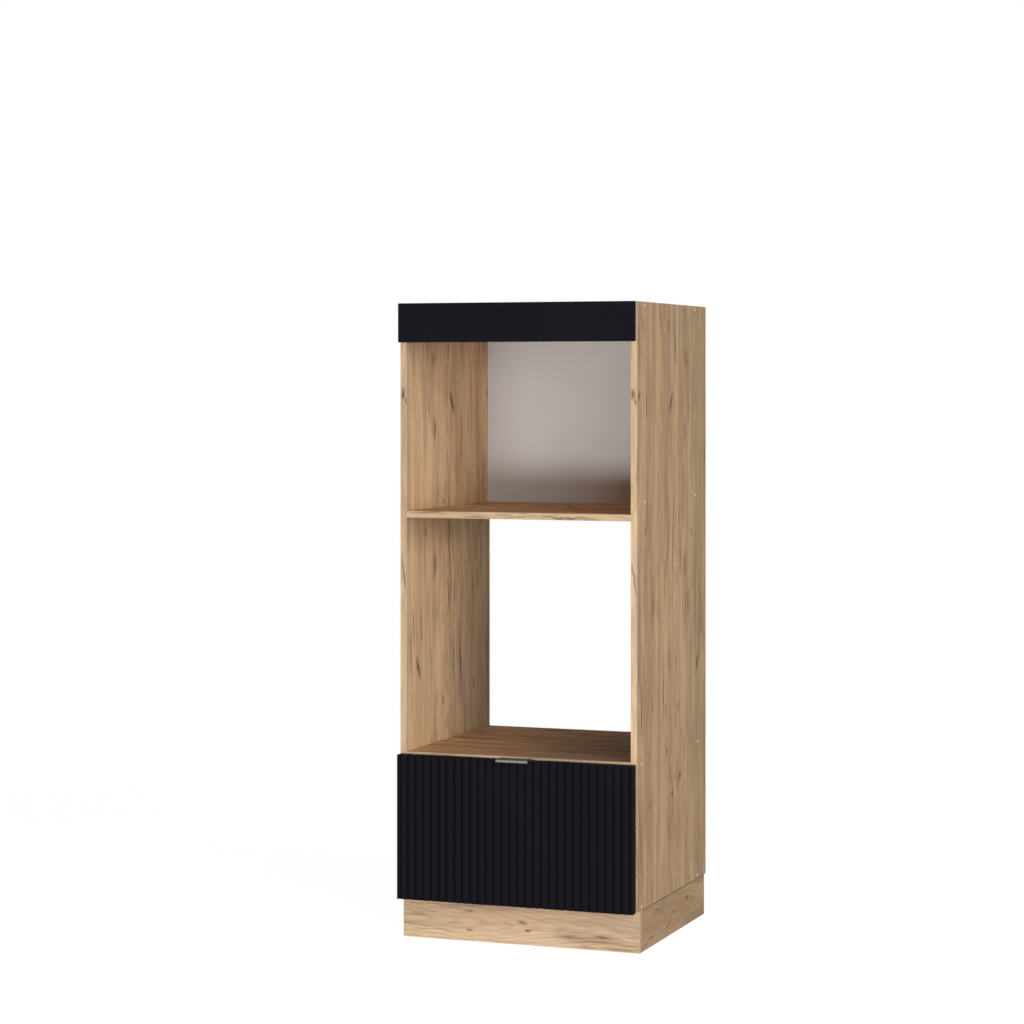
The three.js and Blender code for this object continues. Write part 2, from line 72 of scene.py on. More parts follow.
def tone(red: float, green: float, blue: float) -> Colour:
    """Turns a displayed colour into the light that it stands for.

    Args:
        red: Displayed red, 0 to 255.
        green: Displayed green, 0 to 255.
        blue: Displayed blue, 0 to 255.

    Returns:
        The colour in linear light, with full alpha.
    """
    shares = [level / 255 for level in (red, green, blue)]
    light = [s / 12.92 if s <= 0.04045 else ((s + 0.055) / 1.055) ** 2.4 for s in shares]
    return (*light, 1.0)


# ---------------------------------------------------------------- the bench


class Pick(Enum):
    """What edit mode selects."""

    POINTS = "VERT"
    EDGES = "EDGE"
    FACES = "FACE"


def edge_at(**levels: float) -> EdgeTest:
    """Makes a test for edges with both ends on these levels, such as x=0.3 or y=0."""
    return lambda edge: all(
        abs(getattr(point.co, axis) - level) < TOUCH
        for point in edge.verts for axis, level in levels.items()
    )


def looks_up(face: bmesh.types.BMFace) -> bool:
    """Says whether a face looks up."""
    return face.normal.z > 0.9


def clear_bench() -> None:
    """Leaves edit mode and deselects everything."""
    active = bpy.context.view_layer.objects.active
    if active is not None and active.mode != "OBJECT":
        bpy.ops.object.mode_set(mode="OBJECT")
    bpy.ops.object.select_all(action="DESELECT")


def take(*things: bpy.types.Object) -> None:
    """Selects these objects alone and makes the first one active.

    Args:
        things: The objects.
    """
    clear_bench()
    for thing in things:
        thing.select_set(True)
    bpy.context.view_layer.objects.active = things[0]


class Workpiece:
    """One mesh on the bench, shaped in edit mode and finished with modifiers."""

    def __init__(self, thing: bpy.types.Object) -> None:
        """Wraps a Blender object that holds a mesh."""
        self.thing = thing

    @classmethod
    def started(cls, name: str, scale: Sequence[float] = (1, 1, 1)) -> "Workpiece":
        """Takes up the primitive that was just added, with its place put in its mesh.

        Args:
            name: The piece's name.
            scale: Its size, where it was added in unit size.

        Returns:
            The piece.
        """
        thing = bpy.context.active_object
        thing.scale = scale
        thing.name = thing.data.name = name
        bpy.ops.object.transform_apply(location=True, rotation=True, scale=True)
        return cls(thing)

    @classmethod
    def block(cls, name: str, low: Vector, high: Vector) -> "Workpiece":
        """A block between two corners.

        Args:
            name: The piece's name.
            low: Its lowest corner.
            high: Its highest corner.

        Returns:
            The block, ready to be shaped.
        """
        clear_bench()
        bpy.ops.mesh.primitive_cube_add(size=1, location=(low + high) / 2)
        return cls.started(name, high - low)

    @classmethod
    def plate(cls, name: str, low: Vector, high: Vector) -> "Workpiece":
        """A flat sheet without thickness.

        Args:
            name: The piece's name.
            low: One corner.
            high: The corner across, at the same height.

        Returns:
            The sheet, ready to be shaped.
        """
        clear_bench()
        bpy.ops.mesh.primitive_plane_add(size=1, location=(low + high) / 2)
        return cls.started(name, (high.x - low.x, high.y - low.y, 1))

    @classmethod
    def rod(cls, name: str, radius: float, length: float, facets: int) -> "Workpiece":
        """A rod that stands on the origin along Z.

        Args:
            name: The piece's name.
            radius: Its radius.
            length: Its length.
            facets: Its sides.

        Returns:
            The rod, ready to be shaped.
        """
        clear_bench()
        bpy.ops.mesh.primitive_cylinder_add(
            vertices=facets, radius=radius, depth=length, location=(0, 0, length / 2)
        )
        return cls.started(name)

    @classmethod
    def turned(cls, name: str, profile: Sequence[tuple[float, float]], facets: int) -> "Workpiece":
        """A turned piece, drawn out ring by ring from a disc.

        Args:
            name: The piece's name.
            profile: Radius and height of each ring, from the first disc to the last.
            facets: Sides of every ring.

        Returns:
            The closed turned piece, standing on Z.
        """
        clear_bench()
        radius, height = profile[0]
        bpy.ops.mesh.primitive_circle_add(
            vertices=facets, radius=radius, location=(0, 0, height), fill_type="NGON"
        )
        piece = cls.started(name)
        piece.pick(Pick.FACES)
        for (radius0, height0), (radius1, height1) in pairwise(profile):
            piece.draw_out(z=height1 - height0)
            ratio = radius1 / radius0
            piece.resize((ratio, ratio, 1), (0, 0, height1))
        return piece.outward()

    @classmethod
    def copy_of(cls, node: str) -> "Workpiece":
        """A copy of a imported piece, with its triangles merged back into whole faces.

        Args:
            node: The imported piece's name.

        Returns:
            The copy, in edit mode.
        """
        clear_bench()
        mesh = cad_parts[node].data.copy()
        mesh.materials.clear()
        thing = bpy.data.objects.new(f"dressed_{node}", mesh)
        bpy.context.scene.collection.objects.link(thing)
        take(thing)
        bpy.ops.mesh.customdata_custom_splitnormals_clear()
        piece = cls(thing)
        piece.pick(Pick.FACES)
        bpy.ops.mesh.remove_doubles(threshold=TOUCH / 10)
        bpy.ops.mesh.dissolve_limited(angle_limit=math.radians(1))
        return piece

    def pick(self, what: Pick, test: Callable[..., bool] = lambda part: True) -> int:
        """Selects the points, edges or faces that pass a test, and nothing else.

        Args:
            what: Which of the three is selected.
            test: Says of each one whether it is wanted. Without it, all are.

        Returns:
            How many are selected.
        """
        if self.thing.mode != "EDIT":
            take(self.thing)
            bpy.ops.object.mode_set(mode="EDIT")
        bpy.ops.mesh.select_mode(type=what.value)
        bpy.ops.mesh.select_all(action="DESELECT")
        shape = bmesh.from_edit_mesh(self.thing.data)
        parts = {Pick.POINTS: shape.verts, Pick.EDGES: shape.edges, Pick.FACES: shape.faces}[what]
        chosen = [part for part in parts if test(part)]
        for part in chosen:
            part.select_set(True)
        shape.select_flush_mode()
        bmesh.update_edit_mesh(self.thing.data)
        return len(chosen)

    def pick_on(self, axis: int, level: float) -> int:
        """Selects the points that lie on one level of an axis."""
        return self.pick(Pick.POINTS, lambda point: abs(point.co[axis] - level) < TOUCH)

    def move(self, x: float = 0, y: float = 0, z: float = 0) -> None:
        """Moves what is selected."""
        bpy.ops.transform.translate(value=(x, y, z))

    def resize(self, scale: Sequence[float], centre: Sequence[float] = (0, 0, 0)) -> None:
        """Scales what is selected about a point."""
        bpy.ops.transform.resize(value=scale, center_override=centre)

    def draw_out(self, x: float = 0, y: float = 0, z: float = 0) -> None:
        """Extrudes what is selected by a step."""
        bpy.ops.mesh.extrude_region_move(TRANSFORM_OT_translate={"value": (x, y, z)})

    def round_off(self, width: float, segments: int) -> None:
        """Rounds the selected edges."""
        bpy.ops.mesh.bevel(offset=width, segments=segments, affect="EDGES", clamp_overlap=True)

    def round_folds(self, width: float, segments: int) -> None:
        """Rounds the folds of an open strip, and turns its faces outwards.

        Args:
            width: How far the rounding reaches.
            segments: Facets across the rounding.
        """
        self.pick(Pick.EDGES, lambda edge: edge.is_manifold and edge.calc_face_angle(0) > 1)
        self.round_off(width, segments)
        self.outward()

    def slice(self, place: Vector, normal: Vector, keep_inner: bool = False) -> None:
        """Cuts the whole mesh along a plane.

        Args:
            place: A point of the plane.
            normal: The way that the plane faces.
            keep_inner: Drops what lies on the normal's side, and closes the cut.
        """
        self.pick(Pick.FACES)
        bpy.ops.mesh.bisect(
            plane_co=place, plane_no=normal, clear_outer=keep_inner, use_fill=keep_inner
        )

    def round_sharp(self, width: float, segments: int = 2, degrees: float = 40,
                    test: EdgeTest = lambda edge: True) -> "Workpiece":
        """Rounds every edge that is sharper than an angle and passes the test.

        Args:
            width: How far the rounding reaches.
            segments: Facets across the rounding.
            degrees: Edges that turn less than this stay as they are.
            test: A further choice among the edges.

        Returns:
            The piece itself.
        """
        limit = math.radians(degrees)
        if self.pick(Pick.EDGES, lambda edge: edge.is_manifold
                     and edge.calc_face_angle(0) >= limit and test(edge)):
            self.round_off(width, segments)
        return self

    def press_within(self, low: Vector, high: Vector) -> None:
        """Presses what a rounding pushed past a box back onto the box's faces.

        Args:
            low: The box's lowest corner.
            high: Its highest corner.
        """
        for axis in range(3):
            for level, way in ((low[axis], -1), (high[axis], 1)):
                if self.pick(Pick.POINTS, lambda point: way * (point.co[axis] - level) > 0):
                    flat, centre = [1.0, 1.0, 1.0], [0.0, 0.0, 0.0]
                    flat[axis], centre[axis] = 0.0, level
                    self.resize(flat, centre)

    def outward(self) -> "Workpiece":
        """Turns every face of the mesh outwards.

        Returns:
            The piece itself.
        """
        self.pick(Pick.FACES)
        bpy.ops.mesh.normals_make_consistent(inside=False)
        return self

    def modify(self, kind: str, **settings: object) -> "Workpiece":
        """Adds a modifier and applies it.

        Args:
            kind: The modifier's Blender type.
            settings: Its settings.

        Returns:
            The piece itself.
        """
        take(self.thing)
        modifier = self.thing.modifiers.new(kind, kind)
        for key, value in settings.items():
            setattr(modifier, key, value)
        bpy.ops.object.modifier_apply(modifier=modifier.name)
        return self

    def thicken(self, sheet: float) -> None:
        """Gives a folded strip the thickness of its sheet, inwards."""
        self.modify("SOLIDIFY", thickness=sheet, offset=-1, use_even_offset=True)

    def cut_by(self, cutters: Sequence["Workpiece"]) -> None:
        """Cuts this piece by others, which are used up.

        Args:
            cutters: The others.
        """
        tool = cutters[0].join(cutters[1:])
        self.modify("BOOLEAN", object=tool.thing, operation="DIFFERENCE", solver="EXACT")
        bpy.data.objects.remove(tool.thing)

    def join(self, others: Sequence["Workpiece"]) -> "Workpiece":
        """Takes other pieces into this one.

        Args:
            others: The other pieces, if any.

        Returns:
            The piece itself.
        """
        if others:
            take(self.thing, *(other.thing for other in others))
            bpy.ops.object.join()
        return self

    def place(self, matrix: Matrix) -> None:
        """Moves the whole mesh by a matrix."""
        clear_bench()
        self.thing.data.transform(matrix)

    def twin(self, name: str, matrix: Matrix) -> "Workpiece":
        """A copy with a mesh of its own.

        Args:
            name: The copy's name.
            matrix: Moves the copy.

        Returns:
            The copy.
        """
        thing = bpy.data.objects.new(name, self.thing.data.copy())
        twin = Workpiece(thing)
        twin.place(matrix)
        bpy.context.scene.collection.objects.link(thing)
        return twin

    def smooth(self, degrees: float = 35) -> "Workpiece":
        """Shades the roundings smoothly and keeps the flat faces flat.

        Args:
            degrees: Edges that turn more than this stay sharp.

        Returns:
            The piece itself.
        """
        take(self.thing)
        bpy.ops.object.shade_smooth_by_angle(angle=math.radians(degrees))
        return self.modify("WEIGHTED_NORMAL", keep_sharp=True)

    def drop(self) -> None:
        """Removes a pattern piece, of which only the copies were needed."""
        clear_bench()
        bpy.data.objects.remove(self.thing)

    def dress(self, finish: Material, slot: str, body: str, *nodes: str) -> "Workpiece":
        """Gives the finished piece its surface and the body that it moves with.

        Args:
            finish: The material of all its faces.
            slot: The record's material slot; not used.
            body: The body that it rides on.
            nodes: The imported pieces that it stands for.

        Returns:
            The piece itself.
        """
        clear_bench()
        self.thing.data.materials.clear()
        self.thing.data.materials.append(finish)
        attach(self.thing, body)
        if nodes:
            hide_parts(*nodes)
        log.info("%s: %d faces, on %s", self.thing.name, len(self.thing.data.polygons), body)
        return self

    def paint(self, finish: Material, test: Callable[[bpy.types.MeshPolygon], bool]) -> None:
        """Gives a second surface to some faces.

        Args:
            finish: The second material.
            test: Says of each face whether it is painted.
        """
        self.thing.data.materials.append(finish)
        for face in self.thing.data.polygons:
            if test(face):
                face.material_index = len(self.thing.data.materials) - 1


# ---------------------------------------------------------------- shader wiring


class Wiring:
    """Adds nodes to one node tree and joins them."""

    def __init__(self, tree: bpy.types.NodeTree) -> None:
        """Starts on an existing tree."""
        self.tree = tree

    def feed(self, node: bpy.types.Node, sockets: dict[str | int, object]) -> None:
        """Fills inputs of a node.

        Args:
            node: The node.
            sockets: What goes into its inputs: a socket to join, or a plain value.
        """
        for key, value in sockets.items():
            if isinstance(value, Socket):
                self.tree.links.new(value, node.inputs[key])
            else:
                node.inputs[key].default_value = value

    def add(self, kind: str, sockets: dict[str | int, object] | None = None,
            **settings: object) -> bpy.types.NodeOutputs:
        """Adds a node.

        Args:
            kind: The node's Blender type.
            sockets: What goes into its inputs: a socket to join, or a plain value.
            settings: Properties of the node.

        Returns:
            The new node's outputs.
        """
        node = self.tree.nodes.new(kind)
        for key, value in settings.items():
            setattr(node, key, value)
        self.feed(node, sockets or {})
        return node.outputs

    def math(self, operation: str, *inputs: object) -> Socket:
        """One sum on numbers, and its result."""
        return self.add("ShaderNodeMath", dict(enumerate(inputs)), operation=operation)[0]

    def vector(self, operation: str, *inputs: object) -> Socket:
        """One sum on vectors, and its result: a number for a length or a dot product."""
        outputs = self.add("ShaderNodeVectorMath", dict(enumerate(inputs)), operation=operation)
        return outputs["Value" if operation in ("LENGTH", "DOT_PRODUCT") else "Vector"]

    def stretch(self, vector: Socket, scale: Sequence[float],
                shift: Sequence[float] = (0, 0, 0)) -> Socket:
        """Scales and then shifts a vector."""
        return self.vector("MULTIPLY_ADD", vector, tuple(scale), tuple(shift))

    def noise(self, vector: Socket, scale: float = 1, detail: float = 2,
              roughness: float = 0.5) -> bpy.types.NodeOutputs:
        """A cloud pattern with the given fineness."""
        sockets = {"Vector": vector, "Scale": scale, "Detail": detail, "Roughness": roughness}
        return self.add("ShaderNodeTexNoise", sockets)

    def band(self, value: Socket, low: float, high: float, to_low: float = 0,
             to_high: float = 1) -> Socket:
        """Turns a range of a value softly into another range."""
        sockets = {0: value, 1: low, 2: high, 3: to_low, 4: to_high}
        return self.add("ShaderNodeMapRange", sockets, interpolation_type="SMOOTHSTEP")[0]

    def mix(self, share: object, first: object, second: object, blend: str = "MIX") -> Socket:
        """Mixes two colours."""
        sockets = {0: share, 6: first, 7: second}
        return self.add("ShaderNodeMix", sockets, data_type="RGBA", blend_type=blend)[2]

    def dim(self, colour: object, level: Socket) -> Socket:
        """Multiplies a colour by a level."""
        grey = self.add("ShaderNodeCombineColor", {0: level, 1: level, 2: level})[0]
        return self.mix(1.0, colour, grey, "MULTIPLY")

    def group(self, tree: bpy.types.NodeTree, **sockets: object) -> bpy.types.NodeOutputs:
        """Places a shared effect with values of its own, by their names with underscores."""
        named = {label.replace("_", " "): value for label, value in sockets.items()}
        return self.add("ShaderNodeGroup", named, node_tree=tree)


class Effect:
    """A shared shader effect: a node group that is built once."""

    KINDS = {"vector": "NodeSocketVector", "colour": "NodeSocketColor", "number": "NodeSocketFloat"}

    def __init__(self, name: str, inputs: dict[str, str], outputs: dict[str, str]) -> None:
        """Makes the group with its named sockets.

        Args:
            name: The effect's name.
            inputs: Names of the inputs of each kind, between commas.
            outputs: Names of the outputs of each kind, between commas.
        """
        self.tree = bpy.data.node_groups.new(name, "ShaderNodeTree")
        for sockets, way in ((inputs, "INPUT"), (outputs, "OUTPUT")):
            for kind, labels in sockets.items():
                for label in labels.split(", "):
                    self.tree.interface.new_socket(
                        name=label, in_out=way, socket_type=self.KINDS[kind]
                    )
        self.wiring = Wiring(self.tree)
        self.given = self.wiring.add("NodeGroupInput")

    def put_out(self, **results: object) -> bpy.types.NodeTree:
        """Joins the results to the group's outputs, by name, and gives back the group."""
        self.wiring.add("NodeGroupOutput", results)
        return self.tree


# The arched figure: how fast an arch widens along the grain, how closely the rings follow
# each other in radians per metre, and how blunt the innermost ring is in square metres.
ARCH_SLOPE, RING_PACE, HEART_BLUNTNESS = 0.13, 700, 0.0002


def grain_effect() -> bpy.types.NodeTree:
    """Wood grain along Z: bands, streaks, short dark flecks, fibres, pores and arched figure.

    Returns:
        The node group.
    """
    effect = Effect(
        "wood grain",
        {"vector": "Vector, Heart", "colour": "Light, Middle, Tint, Dark",
         "number": "Streaks, Figure"},
        {"colour": "Color", "number": "Roughness, Height"},
    )
    wiring, given = effect.wiring, effect.given

    def bend(counts: Triple, reach: float, detail: float) -> Socket:
        """Clouds with the given counts per metre, which push the grain sideways."""
        cloud = wiring.noise(wiring.stretch(given["Vector"], counts), detail=detail)["Color"]
        return wiring.stretch(cloud, (reach, reach, 0), (-reach / 2, -reach / 2, 0))

    slow, quick = bend((5, 5, 3.2), 34 * MM, 1), bend((14, 14, 17), 3.5 * MM, 2)
    grain = wiring.vector("ADD", given["Vector"], wiring.vector("ADD", slow, quick))

    def fibres(across: float, along: float, shift: float, detail: float = 2) -> Socket:
        """Long clouds with the given counts per metre across and along the grain."""
        place = wiring.stretch(grain, (across, across, along), (shift, shift * 1.7, shift * 0.6))
        return wiring.noise(place, detail=detail, roughness=0.55)[0]

    bands = wiring.band(fibres(24, 1.3, 0.0), 0.36, 0.64)
    colour = wiring.mix(bands, given["Middle"], given["Light"])
    tint = wiring.math("MULTIPLY", wiring.band(fibres(34, 3.0, 7.3), 0.47, 0.66), 0.75)
    colour = wiring.mix(tint, colour, given["Tint"])
    patches = wiring.band(fibres(15, 4.5, 11.0), 0.42, 0.66, 0.12, 1)
    streak = wiring.band(fibres(100, 6.0, 3.1, 3), 0.50, 0.70)
    fleck = wiring.math("MULTIPLY", wiring.band(fibres(260, 12, 13.7), 0.54, 0.70), 0.62)
    streak = wiring.math("MULTIPLY", wiring.math("MAXIMUM", streak, fleck), patches)
    colour = wiring.mix(wiring.math("MULTIPLY", streak, given["Streaks"]), colour, given["Dark"])

    centred = wiring.vector("SUBTRACT", grain, given["Heart"])
    parts = wiring.add("ShaderNodeSeparateXYZ", {0: centred})
    squared = wiring.math("MULTIPLY_ADD", parts["Y"], parts["Y"], HEART_BLUNTNESS)
    squared = wiring.math("MULTIPLY_ADD", parts["X"], parts["X"], squared)
    arch = wiring.math("MULTIPLY_ADD", parts["Z"], ARCH_SLOPE, wiring.math("SQRT", squared))
    rings = wiring.math("SINE", wiring.math("MULTIPLY", arch, RING_PACE))
    rings = wiring.math("MULTIPLY", wiring.band(rings, 0.0, 1), given["Figure"])
    colour = wiring.mix(rings, colour, given["Dark"])

    fine = fibres(330, 11, 1.9, 3)
    colour = wiring.dim(colour, wiring.band(fine, 0.3, 0.7, 0.86, 1.07))
    pores = wiring.band(fibres(1500, 55, 2.7, 1), 0.60, 0.70)
    colour = wiring.mix(wiring.math("MULTIPLY", pores, 0.22), colour, given["Dark"])
    rough = wiring.math("MULTIPLY_ADD", fine, 0.14, 0.50)
    height = wiring.math("SUBTRACT", wiring.math("MULTIPLY", fine, 0.4), pores)
    return effect.put_out(Color=colour, Roughness=rough, Height=height)


def mark_effect() -> bpy.types.NodeTree:
    """One dark mark in the grain: a lens, longer than wide, which may lean.

    Returns:
        The node group.
    """
    effect = Effect(
        "grain mark",
        {"number": "Across, Along, Centre Across, Centre Along, Half Width, Half Length, Lean, "
                   "Strength"},
        {"number": "Mask"},
    )
    wiring, given = effect.wiring, effect.given
    along = wiring.math("SUBTRACT", given["Along"], given["Centre Along"])
    across = wiring.math("SUBTRACT", given["Across"], given["Centre Across"])
    lean = wiring.math("MULTIPLY", along, given["Lean"])
    across = wiring.math("DIVIDE", wiring.math("SUBTRACT", across, lean), given["Half Width"])
    along = wiring.math("DIVIDE", along, given["Half Length"])
    square = wiring.math("MULTIPLY_ADD", across, across, wiring.math("MULTIPLY", along, along))
    lens = wiring.band(wiring.math("SQRT", square), 1.0, 0.1)
    return effect.put_out(Mask=wiring.math("MULTIPLY", lens, given["Strength"]))


def skin_effect() -> bpy.types.NodeTree:
    """A fine skin, such as lacquer, foil or moulded plastic, with slow changes of gloss.

    Returns:
        The node group.
    """
    effect = Effect(
        "fine skin", {"vector": "Vector", "number": "Bumps, Gloss"},
        {"number": "Cloud, Roughness, Height"},
    )
    wiring, given = effect.wiring, effect.given
    cloud = wiring.noise(given["Vector"], 5, 3)[0]
    smear = wiring.noise(wiring.stretch(given["Vector"], (9, 9, 3)), 2.5, 3, 0.6)[0]
    bumps = wiring.noise(given["Vector"], given["Bumps"], 2)[0]
    rough = wiring.math("ADD", given["Gloss"], wiring.band(smear, 0.35, 0.7, -0.05, 0.06))
    return effect.put_out(Cloud=wiring.band(cloud, 0.3, 0.7), Roughness=rough, Height=bumps)


def drawn_effect() -> bpy.types.NodeTree:
    """Fine lines that run along Z, as brushing or rolling leaves them on metal.

    Returns:
        The node group.
    """
    effect = Effect(
        "drawn lines", {"vector": "Vector", "number": "Gloss"},
        {"number": "Shade, Roughness, Height"},
    )
    wiring, given = effect.wiring, effect.given
    lines = wiring.noise(wiring.stretch(given["Vector"], (2600, 2600, 22)), detail=2)[0]
    cloud = wiring.noise(given["Vector"], 60, 3)[0]
    rough = wiring.math("MULTIPLY_ADD", lines, 0.16, given["Gloss"])
    shade = wiring.math("MULTIPLY_ADD", lines, 0.5, wiring.math("MULTIPLY", cloud, 0.5))
    return effect.put_out(Shade=shade, Roughness=rough, Height=lines)


class Effects:
    """The shared shader effects, each built once."""

    def __init__(self) -> None:
        """Builds the node groups."""
        self.grain, self.mark = grain_effect(), mark_effect()
        self.skin, self.drawn = skin_effect(), drawn_effect()


# ---------------------------------------------------------------- finishes


class Grain(Enum):
    """Which way the grain or the drawn lines run, as the turn that lays them along Z."""

    UP = (0.0, 0.0, 0.0)
    ACROSS = (0.0, -QUARTER_TURN, 0.0)
    DEEP = (QUARTER_TURN, 0.0, 0.0)


@dataclass(frozen=True)
class GrainMark:
    """A knot, crack or dark vein, by its place across and along the grain."""

    across: float
    along: float
    half_width: float
    half_length: float
    strength: float = 0.8
    lean: float = 0.0


@dataclass(frozen=True)
class Shade:
    """A place of painted shade or painted light, where a surface is darker or paler, and how far
    that reaches.
    """

    centre: Triple
    reach: Triple
    level: float

    def over(self, wiring: Wiring, place: Socket, colour: Socket) -> Socket:
        """Lays the painted shade or painted light over a colour.

        Args:
            wiring: The material's wiring.
            place: The piece's own coordinates.
            colour: The surface colour.

        Returns:
            The changed colour.
        """
        scale = [1 / reach for reach in self.reach]
        shift = [-middle * share for middle, share in zip(self.centre, scale)]
        distance = wiring.vector("LENGTH", wiring.stretch(place, scale, shift))
        return wiring.dim(colour, wiring.band(distance, 0.0, 1.0, self.level, 1.0))


@dataclass(frozen=True)
class Finish:
    """The even values of one surface. Each kind of finish adds its own colours and relief."""

    name: str
    specular: float = 0.5
    metallic: float = 0.0
    bump: float = 0.1
    bump_depth: float = 0.1 * MM
    # Places of painted shade and painted light over the surface's colour.
    painted_light_and_shade: tuple[Shade, ...] = ()

    def build(self, effects: Effects) -> Material:
        """Makes the material.

        Args:
            effects: The shared effects.

        Returns:
            The finished material.
        """
        material = bpy.data.materials.new(self.name)
        material.use_nodes = True
        wiring = Wiring(material.node_tree)
        place = wiring.add("ShaderNodeTexCoord")["Object"]
        colour, rough, height = self.surface(wiring, place, effects)
        for shade in self.painted_light_and_shade:
            colour = shade.over(wiring, place, colour)
        relief = {"Height": height, "Strength": self.bump, "Distance": self.bump_depth}
        wiring.feed(material.node_tree.nodes["Principled BSDF"], {
            "Base Color": colour, "Roughness": rough, "Specular IOR Level": self.specular,
            "Metallic": self.metallic, "Normal": wiring.add("ShaderNodeBump", relief)[0],
        })
        return material


@dataclass(frozen=True)
class WoodDecor(Finish):
    """A printed wood surface with its grain, and marks at chosen places."""

    specular: float = 0.06
    bump: float = 0.12
    grain: Grain = Grain.UP
    light: Colour = tone(209, 177, 139)
    middle: Colour = tone(193, 161, 123)
    tint: Colour = tone(176, 146, 118)
    dark: Colour = tone(110, 82, 58)
    mark_colour: Colour = tone(100, 74, 52)
    # A factor on every tone of the print: painted light or painted shade that pales or darkens the
    # board, and a shift of its tint.
    painted_light_and_tint: Triple = (1.0, 1.0, 1.0)
    streaks: float = 1.0
    figure: float = 0.2
    heart: Triple = (0.3, 0.04, 0.0)
    turned_round: bool = False
    marks: tuple[GrainMark, ...] = ()
    face_axis: str = "Y"

    def surface(self, wiring: Wiring, place: Socket, effects: Effects) -> tuple[Socket, ...]:
        """Lays the print over the board, turned with its grain, with its own wash and marks.

        Args:
            wiring: The material's wiring.
            place: The piece's own coordinates.
            effects: The shared effects.

        Returns:
            Colour, roughness and relief.
        """
        turn = (0, 0, math.pi) if self.turned_round else self.grain.value
        low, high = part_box("side_panel_right")
        centring = (0, low.y + high.y, 0) if self.turned_round else (0, 0, 0)
        place = wiring.add(
            "ShaderNodeMapping", {"Vector": place, "Rotation": turn, "Location": centring}
        )[0]
        light, middle, tint, dark = (
            (*(level * share for level, share in zip(colour, self.painted_light_and_tint)), 1.0)
            for colour in (self.light, self.middle, self.tint, self.dark)
        )
        grain = wiring.group(
            effects.grain, Vector=place, Heart=self.heart, Light=light, Middle=middle, Tint=tint,
            Dark=dark, Streaks=self.streaks, Figure=self.figure,
        )
        colour = grain["Color"]
        if self.marks:
            colour = wiring.mix(self.mask(wiring, place, effects), colour, self.mark_colour)
        return colour, grain["Roughness"], grain["Height"]

    def mask(self, wiring: Wiring, place: Socket, effects: Effects) -> Socket:
        """Lays all the marks over each other, with ragged edges.

        Args:
            wiring: The material's wiring.
            place: Coordinates along the grain.
            effects: The shared effects.

        Returns:
            How much of the marks' colour shows.
        """
        ragged = wiring.noise(wiring.stretch(place, (60, 60, 42)), detail=3)["Color"]
        ragged = wiring.stretch(ragged, (0.014, 0.014, 0.022), (-0.007, -0.007, -0.011))
        parts = wiring.add("ShaderNodeSeparateXYZ", {0: wiring.vector("ADD", place, ragged)})
        total: object = 0.0
        for mark in self.marks:
            one = wiring.group(
                effects.mark, Across=parts[self.face_axis], Along=parts["Z"],
                Centre_Across=mark.across, Centre_Along=mark.along, Half_Width=mark.half_width,
                Half_Length=mark.half_length, Lean=mark.lean, Strength=mark.strength,
            )[0]
            total = wiring.math("MAXIMUM", one, total)
        return total


@dataclass(frozen=True)
class SkinFinish(Finish):
    """Lacquer, foil, hardboard or moulded plastic: two near tones under a fine skin."""

    first: Colour = (0.5, 0.5, 0.5, 1.0)
    second: Colour = (0.5, 0.5, 0.5, 1.0)
    gloss: float = 0.5
    bumps: float = 900

    def surface(self, wiring: Wiring, place: Socket, effects: Effects) -> tuple[Socket, ...]:
        """Mixes the two tones by the skin's slow clouds.

        Args:
            wiring: The material's wiring.
            place: The piece's own coordinates.
            effects: The shared effects.

        Returns:
            Colour, roughness and relief.
        """
        skin = wiring.group(effects.skin, Vector=place, Bumps=self.bumps, Gloss=self.gloss)
        colour = wiring.mix(skin["Cloud"], self.first, self.second)
        return colour, skin["Roughness"], skin["Height"]


@dataclass(frozen=True)
class MetalFinish(Finish):
    """Drawn or brushed metal, with its lines along one axis."""

    metallic: float = 1.0
    grain: Grain = Grain.ACROSS
    first: Colour = (0.5, 0.5, 0.5, 1.0)
    second: Colour = (0.5, 0.5, 0.5, 1.0)
    gloss: float = 0.3

    def surface(self, wiring: Wiring, place: Socket, effects: Effects) -> tuple[Socket, ...]:
        """Mixes the two tones by the drawn lines.

        Args:
            wiring: The material's wiring.
            place: The piece's own coordinates.
            effects: The shared effects.

        Returns:
            Colour, roughness and relief.
        """
        turned = {"Vector": place, "Rotation": self.grain.value}
        place = wiring.add("ShaderNodeMapping", turned)[0]
        drawn = wiring.group(effects.drawn, Vector=place, Gloss=self.gloss)
        colour = wiring.mix(drawn["Shade"], self.first, self.second)
        return colour, drawn["Roughness"], drawn["Height"]


@dataclass(frozen=True)
class ChipFinish(Finish):
    """Raw chipboard, where a groove or a hole opens it."""

    bump: float = 0.4
    pale: Colour = tone(196, 168, 128)
    deep: Colour = tone(128, 98, 66)
    chips_per_metre: float = 420.0
    gloss: float = 0.85
    bumps: float = 700.0

    def surface(self, wiring: Wiring, place: Socket, effects: Effects) -> tuple[Socket, ...]:
        """Scatters small wood chips between two tones, under a dull skin.

        Args:
            wiring: The material's wiring.
            place: The piece's own coordinates.
            effects: The shared effects.

        Returns:
            Colour, roughness and relief.
        """
        cells = {"Vector": place, "Scale": self.chips_per_metre}
        chips = wiring.add("ShaderNodeTexVoronoi", cells)
        value = wiring.add("ShaderNodeSeparateColor", {0: chips["Color"]})[0]
        skin = wiring.group(effects.skin, Vector=place, Bumps=self.bumps, Gloss=self.gloss)
        return wiring.mix(value, self.pale, self.deep), skin["Roughness"], chips["Distance"]


def painted_light_and_shade(*rows: tuple[float, ...]) -> tuple[Shade, ...]:
    """Places of painted shade and painted light from rows of a centre, a reach and a level."""
    return tuple(Shade(row[0:3], row[3:6], row[6]) for row in rows)


def marks(*rows: tuple[float, ...]) -> tuple[GrainMark, ...]:
    """Grain marks from rows of their values."""
    return tuple(GrainMark(*row) for row in rows)


